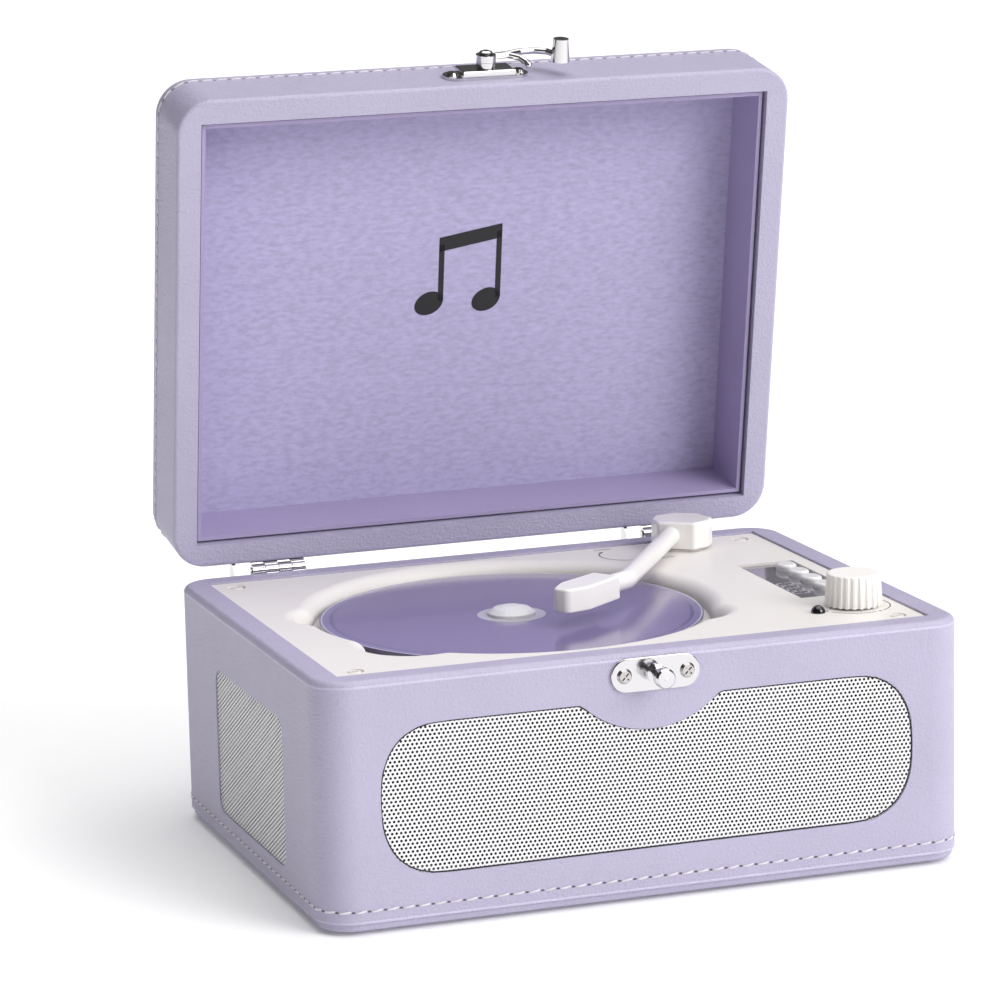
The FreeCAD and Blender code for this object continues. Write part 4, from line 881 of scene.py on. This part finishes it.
@dataclass
class PerforatedSheet:
    """A speaker grille with a staggered pattern of round holes."""

    node: str
    side: SheetSide
    inside: Outline
    pitch: float = 1.383 * MM
    hole: float = 0.45 * MM
    depth: float = 0.4 * MM

    def spots(self, half_u: float, half_v: float) -> Iterator[Point2]:
        """Walk over the holes' centres, row by row.

        Args:
            half_u: Half the sheet's width.
            half_v: Half the sheet's height.

        Yields:
            Each centre inside the outline, measured from the sheet's own centre.
        """
        row = self.pitch * math.sqrt(3) / 2
        step_u, step_v = (row, self.pitch) if self.upright else (self.pitch, row)
        reach_u = math.ceil(half_u / step_u) + 1
        reach_v = math.ceil(half_v / step_v) + 1
        for i in range(-reach_u, reach_u + 1):
            for j in range(-reach_v, reach_v + 1):
                shift = 0.5 * ((i if self.upright else j) % 2)
                u = (i + (0 if self.upright else shift)) * step_u
                v = (j + (shift if self.upright else 0)) * step_v
                if self.inside(u, v):
                    yield u, v

    @property
    def upright(self) -> bool:
        """Whether the rows of holes stand upright."""
        return self.side is not SheetSide.FRONT

    def build(self, wardrobe: Wardrobe) -> None:
        """Punch the sheet cell by cell."""
        low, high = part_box(self.node)
        out = self.side.value
        across = Vector((1, 0, 0)) if out.y else Vector((0, 1, 0))
        up = Vector((0, 0, 1))
        middle = (low + high) / 2
        face = max(low.dot(out), high.dot(out))
        flat = middle + out * (face - middle.dot(out))
        first = 0 if self.upright else 30
        turns = [math.radians(first + 60 * k) for k in range(6)]
        corner = self.pitch / math.sqrt(3)
        flip = across.cross(up).dot(out) < 0
        points: list[Vector] = []
        faces: list[tuple[int, ...]] = []
        finishes: list[int] = []
        seen: dict[tuple[int, int], int] = {}

        def shared(u: float, v: float) -> int:
            """The number of a corner that neighbouring cells share."""
            key = (round(u * 1e6), round(v * 1e6))
            if key not in seen:
                seen[key] = len(points)
                points.append(flat + across * u + up * v)
            return seen[key]

        for u, v in self.spots((high - low).dot(across) / 2, (high.z - low.z) / 2):
            rim = [shared(u + corner * math.cos(t), v + corner * math.sin(t)) for t in turns]
            start = len(points)
            for drop in (0.0, self.depth):
                for t in turns:
                    spot = flat + across * (u + self.hole * math.cos(t))
                    points.append(spot + up * (v + self.hole * math.sin(t)) - out * drop)
            for k in range(6):
                n = (k + 1) % 6
                top = (rim[k], rim[n], start + n, start + k)
                wall = (start + k, start + n, start + 6 + n, start + 6 + k)
                # Index 0 is the grille's face, 1 a hole wall, which takes the painted shade.
                for finish, quad in enumerate((top, wall)):
                    faces.append(quad[::-1] if flip else quad)
                    finishes.append(finish)
        piece = mesh_piece(f"{self.node}_sheet", points, faces)
        wardrobe.dress(piece, Surface.GRILLE.value)
        # The hole walls take a near-black second material as painted shade inside the holes.
        piece.data.materials.append(wardrobe.material(Surface.HOLE_SHADE.value))
        piece.data.polygons.foreach_set("material_index", finishes)
        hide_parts(self.node)
        mount(piece, "base")


@dataclass
class SpeakerCase:
    """The leatherette case with its grilles, stitching and rubber feet."""

    stitch_height: float = 6.3 * MM
    hem_height: float = 2.9 * MM
    fold_drop: float = 2.0 * MM
    corner: float = 11.2 * MM
    notch_radius: float = 31.0 * MM
    notch_height: float = 44.7 * MM
    end_width: float = 20.5 * MM
    end_power: float = 2.5
    side_radius: float = 5.0 * MM
    cover: float = 0.75 * MM
    shadow_line_width: float = 0.45 * MM
    shadow_line_lift: float = 0.04 * MM
    shadow_line_steps: int = 240

    def front_outline(self) -> Outline:
        """The front grille's long rounded shape, as a test of points.

        Returns:
            A test that takes the distance to the right of the grille's centre and
            the distance above it, and is true inside the outline and its margin.
        """
        low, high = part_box("front_grille")
        half_u = (high.x - low.x) / 2 + self.cover
        half_v = (high.z - low.z) / 2 + self.cover
        straight = half_u - self.end_width

        def inside(u: float, v: float) -> bool:
            """Test one point."""
            if abs(v) > half_v or abs(u) > half_u:
                return False
            if math.hypot(u, v - self.notch_height) < self.notch_radius - self.cover:
                return False
            if abs(u) > straight:
                share = (abs(u) - straight) / self.end_width
                return share**self.end_power + (abs(v) / half_v) ** self.end_power < 1.0
            return True

        return inside

    def side_outline(self) -> Outline:
        """A side grille's rectangle with round corners, as a test of points.

        Returns:
            A test that takes the distance along the wall from the grille's centre and
            the distance above it, and is true inside the outline and its margin.
        """
        low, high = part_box("left_grille")
        radius = self.side_radius
        half_u = (high.y - low.y) / 2 + self.cover - radius
        half_v = (high.z - low.z) / 2 + self.cover - radius

        def inside(u: float, v: float) -> bool:
            """Test one point."""
            over_u, over_v = abs(u) - half_u, abs(v) - half_v
            if over_u > 0 and over_v > 0:
                return math.hypot(over_u, over_v) < radius
            return max(over_u, over_v) < radius

        return inside

    def build(self, wardrobe: Wardrobe) -> None:
        """Make the grilles and the stitching."""
        PerforatedSheet("front_grille", SheetSide.FRONT, self.front_outline()).build(wardrobe)
        PerforatedSheet("left_grille", SheetSide.LEFT, self.side_outline()).build(wardrobe)
        PerforatedSheet("right_grille", SheetSide.RIGHT, self.side_outline()).build(wardrobe)
        # A thin black ribbon round the front grille is a painted shadow in the gap.
        self.build_shadow_line(wardrobe)
        low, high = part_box("case_shell")
        loop = RoundedLoop(high.x, high.y, self.corner, self.stitch_height)
        StitchLine("base_stitch", "base", loop).build(wardrobe)
        # The hem and top fold ridges carry the paler leatherette as a painted highlight.
        for name, height in (("base_hem_highlight_ridge", self.hem_height),
                             ("base_top_highlight_ridge", high.z - self.fold_drop)):
            fold = RoundedLoop(high.x, high.y, self.corner, height)
            FoldHighlightRidge(name, fold).build(wardrobe)

    def build_shadow_line(self, wardrobe: Wardrobe) -> None:
        """Lay a thin black ribbon round the front grille as a painted shadow in the gap."""
        low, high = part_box("front_grille")
        middle = (low + high) / 2
        inside = replace(self, cover=0.0).front_outline()
        path = []
        halvings = 24
        for k in range(self.shadow_line_steps + 1):
            turn = 2 * math.pi * k / self.shadow_line_steps
            near, far = 0.0, high.x - low.x
            for _ in range(halvings):
                reach = (near + far) / 2
                if inside(reach * math.cos(turn), reach * math.sin(turn)):
                    near = reach
                else:
                    far = reach
            path.append(Vector((middle.x + near * math.cos(turn), low.y - self.shadow_line_lift,
                                middle.z + near * math.sin(turn))))
        line = MeshBuilder()
        line.ribbon(path, Vector((0, -1, 0)), self.shadow_line_width)
        piece = line.build("front_grille_painted_shadow_line")
        # The black ribbon stands in for the shadow in the gap: painted shadow.
        wardrobe.dress(piece, Surface.BLACK.value)
        mount(piece, "base")

    def dress(self, wardrobe: Wardrobe) -> None:
        """Give the case's CAD nodes their finishes."""
        wardrobe.dress_nodes(Surface.LEATHER.value, "case_shell", "bottom_panel")
        wardrobe.dress_nodes(Surface.RUBBER.value, "rubber_feet", "chassis_dampers")
        wardrobe.dress_nodes(Surface.WOOD.value, "corner_posts")
        wardrobe.dress_nodes(Surface.BAFFLE.value, "speaker_baffle", "side_backings")
        wardrobe.dress_nodes(Surface.ZINC.value, "speaker_baskets")
        wardrobe.dress_nodes(Surface.CONE.value, "speaker_cones")
        wardrobe.dress_nodes(Surface.SCREW.value, "bottom_screws", "case_hardware_screws",
                             "lid_hardware_screws")


@dataclass
class DiscDeck:
    """The white deck with its prints, display, buttons, disc and drive."""

    ink_lift: float = 0.04 * MM
    dial_radius: float = 11.3 * MM
    dial_line: float = 0.35 * MM
    dial_mark: float = 1.0 * MM
    arm_dial: Point2 = (44.0 * MM, 56.0 * MM)
    arm_dial_radius: float = 9.0 * MM
    arm_line: float = 0.4 * MM
    arm_mark: float = 1.1 * MM
    bar_spots: tuple[Point2, ...] = ((36.5 * MM, 66.3 * MM), (51.0 * MM, 46.4 * MM))
    bar_length: float = 6.0 * MM
    bar_width: float = 0.5 * MM
    digit_tall: float = 5.2 * MM
    digit_wide: float = 3.0 * MM
    digit_pitch: float = 4.3 * MM
    digit_line: float = 0.38 * MM
    digit_lift: float = 0.03 * MM
    digit_inset: float = 1.9 * MM
    digits_forward: float = 9.0 * MM

    def arc(
        self, centre: Point2, radius: float, first: float, last: float, height: float
    ) -> list[Vector]:
        """Points along a level arc.

        Args:
            centre: The arc's centre.
            radius: Its radius.
            first: The first bearing in degrees.
            last: The last bearing in degrees.
            height: Its height.

        Returns:
            The points in order.
        """
        count = max(8, round(abs(last - first) / 6))
        spots = []
        for k in range(count + 1):
            turn = math.radians(first + (last - first) * k / count)
            spots.append(Vector((centre[0] + radius * math.cos(turn),
                                 centre[1] + radius * math.sin(turn), height)))
        return spots

    def build(self, wardrobe: Wardrobe) -> None:
        """Print the dial marks and light the display."""
        self.build_prints(wardrobe)
        self.build_digits(wardrobe)

    def build_prints(self, wardrobe: Wardrobe) -> None:
        """Print the arcs and symbols beside the knob and the tonearm."""
        ink = MeshBuilder()
        up = Vector((0, 0, 1))
        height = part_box("deck_panel")[1].z + self.ink_lift
        knob_low, knob_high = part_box("volume_knob")
        knob = ((knob_low.x + knob_high.x) / 2, (knob_low.y + knob_high.y) / 2)
        dial = (knob, self.dial_radius)
        arm = (self.arm_dial, self.arm_dial_radius)
        for (centre, radius), first, last, width in (
            (dial, -150, -75, self.dial_line), (dial, -60, 20, self.dial_line),
            (dial, -162, -158, self.dial_mark), (dial, -69.5, -65.5, self.dial_mark),
            (dial, 26, 30, self.dial_mark), (arm, 150, 290, self.arm_line),
            (arm, 134, 146, self.arm_mark), (arm, 294, 306, self.arm_mark),
        ):
            ink.ribbon(self.arc(centre, radius, first, last, height), up, width)
        for x, y in self.bar_spots:
            bar = [Vector((x, y, height)), Vector((x + self.bar_length, y, height))]
            ink.ribbon(bar, up, self.bar_width)
        piece = ink.build("deck_print")
        wardrobe.dress(piece, Surface.PRINT.value)
        mount(piece, "base")

    def build_digits(self, wardrobe: Wardrobe) -> None:
        """Draw a generic clock reading of seven-part digits in the display."""
        low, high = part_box("display_lens")
        height = high.z + self.digit_lift
        left = low.x + self.digit_inset
        marks = MeshBuilder()
        up = Vector((0, 0, 1))
        tall, wide = self.digit_tall, self.digit_wide
        bars = {
            "top": ((0, 1), (1, 1)), "middle": ((0, 0.5), (1, 0.5)), "bottom": ((0, 0), (1, 0)),
            "upper_left": ((0, 0.5), (0, 1)), "upper_right": ((1, 0.5), (1, 1)),
            "lower_left": ((0, 0), (0, 0.5)), "lower_right": ((1, 0), (1, 0.5)),
        }
        zero = [name for name in bars if name != "middle"]
        centre_y = (low.y + high.y) / 2 - self.digits_forward
        for slot in range(4):
            base = centre_y + (1.5 - slot) * self.digit_pitch - wide / 2
            for name in zero:
                ends = []
                for a, b in bars[name]:
                    across, along = b * tall, a * wide
                    ends.append(Vector((left + across, base + wide - along, height)))
                inset = (ends[1] - ends[0]) * 0.12
                marks.ribbon([ends[0] + inset, ends[1] - inset], up, self.digit_line)
        piece = marks.build("display_digits")
        wardrobe.dress(piece, Surface.LIT.value)
        mount(piece, "base")

    def dress(self, wardrobe: Wardrobe) -> None:
        """Give the deck's CAD nodes their finishes."""
        wardrobe.dress_nodes(Surface.DECK.value, "deck_panel", "deck_screws")
        wardrobe.dress_nodes(Surface.DISPLAY.value, "display_lens")
        wardrobe.dress_nodes(Surface.BUTTON.value, "play_button", "back_button",
                             "next_button", "source_button")
        wardrobe.dress_nodes(Surface.KNOB.value, "volume_knob")
        wardrobe.dress_nodes(Surface.SENSOR.value, "sensor_dome")
        wardrobe.dress_nodes(Surface.ARM.value, "tonearm_foot", "tonearm_housing",
                             "tonearm_tube", "tonearm_head")
        wardrobe.dress_nodes(Surface.HUB.value, "turntable_hub")
        low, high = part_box("disc")
        # The dark print colour also paints shade along the disc's very edge.
        disc = DiscPrint("disc_print", srgb(120, 109, 151), 0.16,
                         centre=((low.x + high.x) / 2, (low.y + high.y) / 2),
                         band=srgb(124, 116, 160), dots_and_edge_shade=srgb(58, 50, 88),
                         clear=srgb(196, 194, 204), disc_radius=(high.x - low.x) / 2)
        wardrobe.dress_nodes(disc, "disc")
        wardrobe.dress_nodes(Surface.CIRCUIT.value, "control_board", "main_board")
        wardrobe.dress_nodes(Surface.BLACK.value, "tact_switches", "cd_chassis", "laser_sled",
                             "drive_pinion", "arm_switch", "power_switch", "switch_slider",
                             "rear_panel", "aux_jack", "dc_jack")
        wardrobe.dress_nodes(Surface.ZINC.value, "volume_pot", "pot_shaft", "spindle_motor",
                             "sled_motor", "tonearm_shaft")
        wardrobe.dress_nodes(Surface.CHROME.value, "sled_rods")
        wardrobe.dress_nodes(Surface.OPTIC.value, "objective_lens")


@dataclass
class HingedLid:
    """The lid's covering, lining, emblem and metalwork."""

    stitch_rise: float = 22.6 * MM
    corner: float = 11.2 * MM
    emblem_size: float = 30.0 * MM
    emblem_rise: float = 87.0 * MM
    emblem_depth: float = 23.6 * MM
    emblem_lift: float = 0.12 * MM
    lid_gap: float = 0.2 * MM

    def build(self, wardrobe: Wardrobe) -> None:
        """Sew the lid and print the emblem."""
        case_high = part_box("case_shell")[1]
        rim = case_high.z + self.lid_gap
        loop = RoundedLoop(case_high.x, case_high.y, self.corner, rim + self.stitch_rise)
        StitchLine("lid_stitch", "lid", loop, pitch=4.7 * MM, thread=0.27 * MM,
                   turn=lid_opening()).build(wardrobe)
        self.build_emblem(wardrobe, rim)

    def build_emblem(self, wardrobe: Wardrobe, rim: float) -> None:
        """Print a pair of joined music notes on the lid's felt.

        Args:
            wardrobe: The finishes.
            rim: The shut lid's lowest height.
        """
        ink = MeshBuilder()
        face = rim + self.emblem_depth
        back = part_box("case_shell")[1].y
        centre_y = back - self.emblem_rise
        size = self.emblem_size
        lift = Vector((0, 0, -self.emblem_lift))

        def spot(u: float, v: float) -> Vector:
            """A point of the emblem, in shares of its size."""
            return Vector((u * size, centre_y - v * size, face))

        count = 28
        tilt = math.radians(24)
        for head in (-0.36, 0.30):
            oval = []
            for k in range(count):
                turn = 2 * math.pi * k / count
                u, v = 0.17 * math.cos(turn), 0.125 * math.sin(turn)
                oval.append(spot(head + u * math.cos(tilt) - v * math.sin(tilt),
                                 -0.36 + u * math.sin(tilt) + v * math.cos(tilt)))
            ink.slab(oval, lift)
            stem = head + 0.105
            rise = 0.30 if head < 0 else 0.42
            ink.slab([spot(stem, -0.34), spot(stem + 0.06, -0.34),
                      spot(stem + 0.06, rise), spot(stem, rise)], lift)
        ink.slab([spot(-0.255, 0.22), spot(0.465, 0.34), spot(0.465, 0.50),
                  spot(-0.255, 0.38)], lift)
        piece = ink.build("lid_emblem")
        piece.data.transform(lid_opening())
        wardrobe.dress(piece, Surface.EMBLEM.value)
        mount(piece, "lid")

    def dress(self, wardrobe: Wardrobe) -> None:
        """Give the lid's CAD nodes their finishes."""
        wardrobe.dress_nodes(Surface.LEATHER.value, "lid_shell")
        wardrobe.dress_nodes(Surface.LINING.value, "lid_liner")
        wardrobe.dress_nodes(Surface.PANEL.value, "lid_panel")
        wardrobe.dress_nodes(Surface.CHROME.value, "hinge_base_leaves", "hinge_pins",
                             "hinge_lid_leaves", "latch_plate", "latch_rivet", "latch_arm",
                             "catch_plate", "catch_post")


def corners(low: Vector, high: Vector) -> dict[str, list[float]]:
    """A box as two plain lists of numbers."""
    return {"low": [round(c, 6) for c in low], "high": [round(c, 6) for c in high]}


def main() -> None:
    """Build every sub-assembly in order."""
    logging.basicConfig(level=logging.INFO, format="%(name)s: %(message)s")
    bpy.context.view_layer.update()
    Studio().build()
    wardrobe = Wardrobe()
    for assembly in (SpeakerCase(), DiscDeck(), HingedLid()):
        log.info("building %s", type(assembly).__name__)
        assembly.build(wardrobe)
        assembly.dress(wardrobe)
    bpy.context.view_layer.update()


if __name__ == "__main__":
    main()
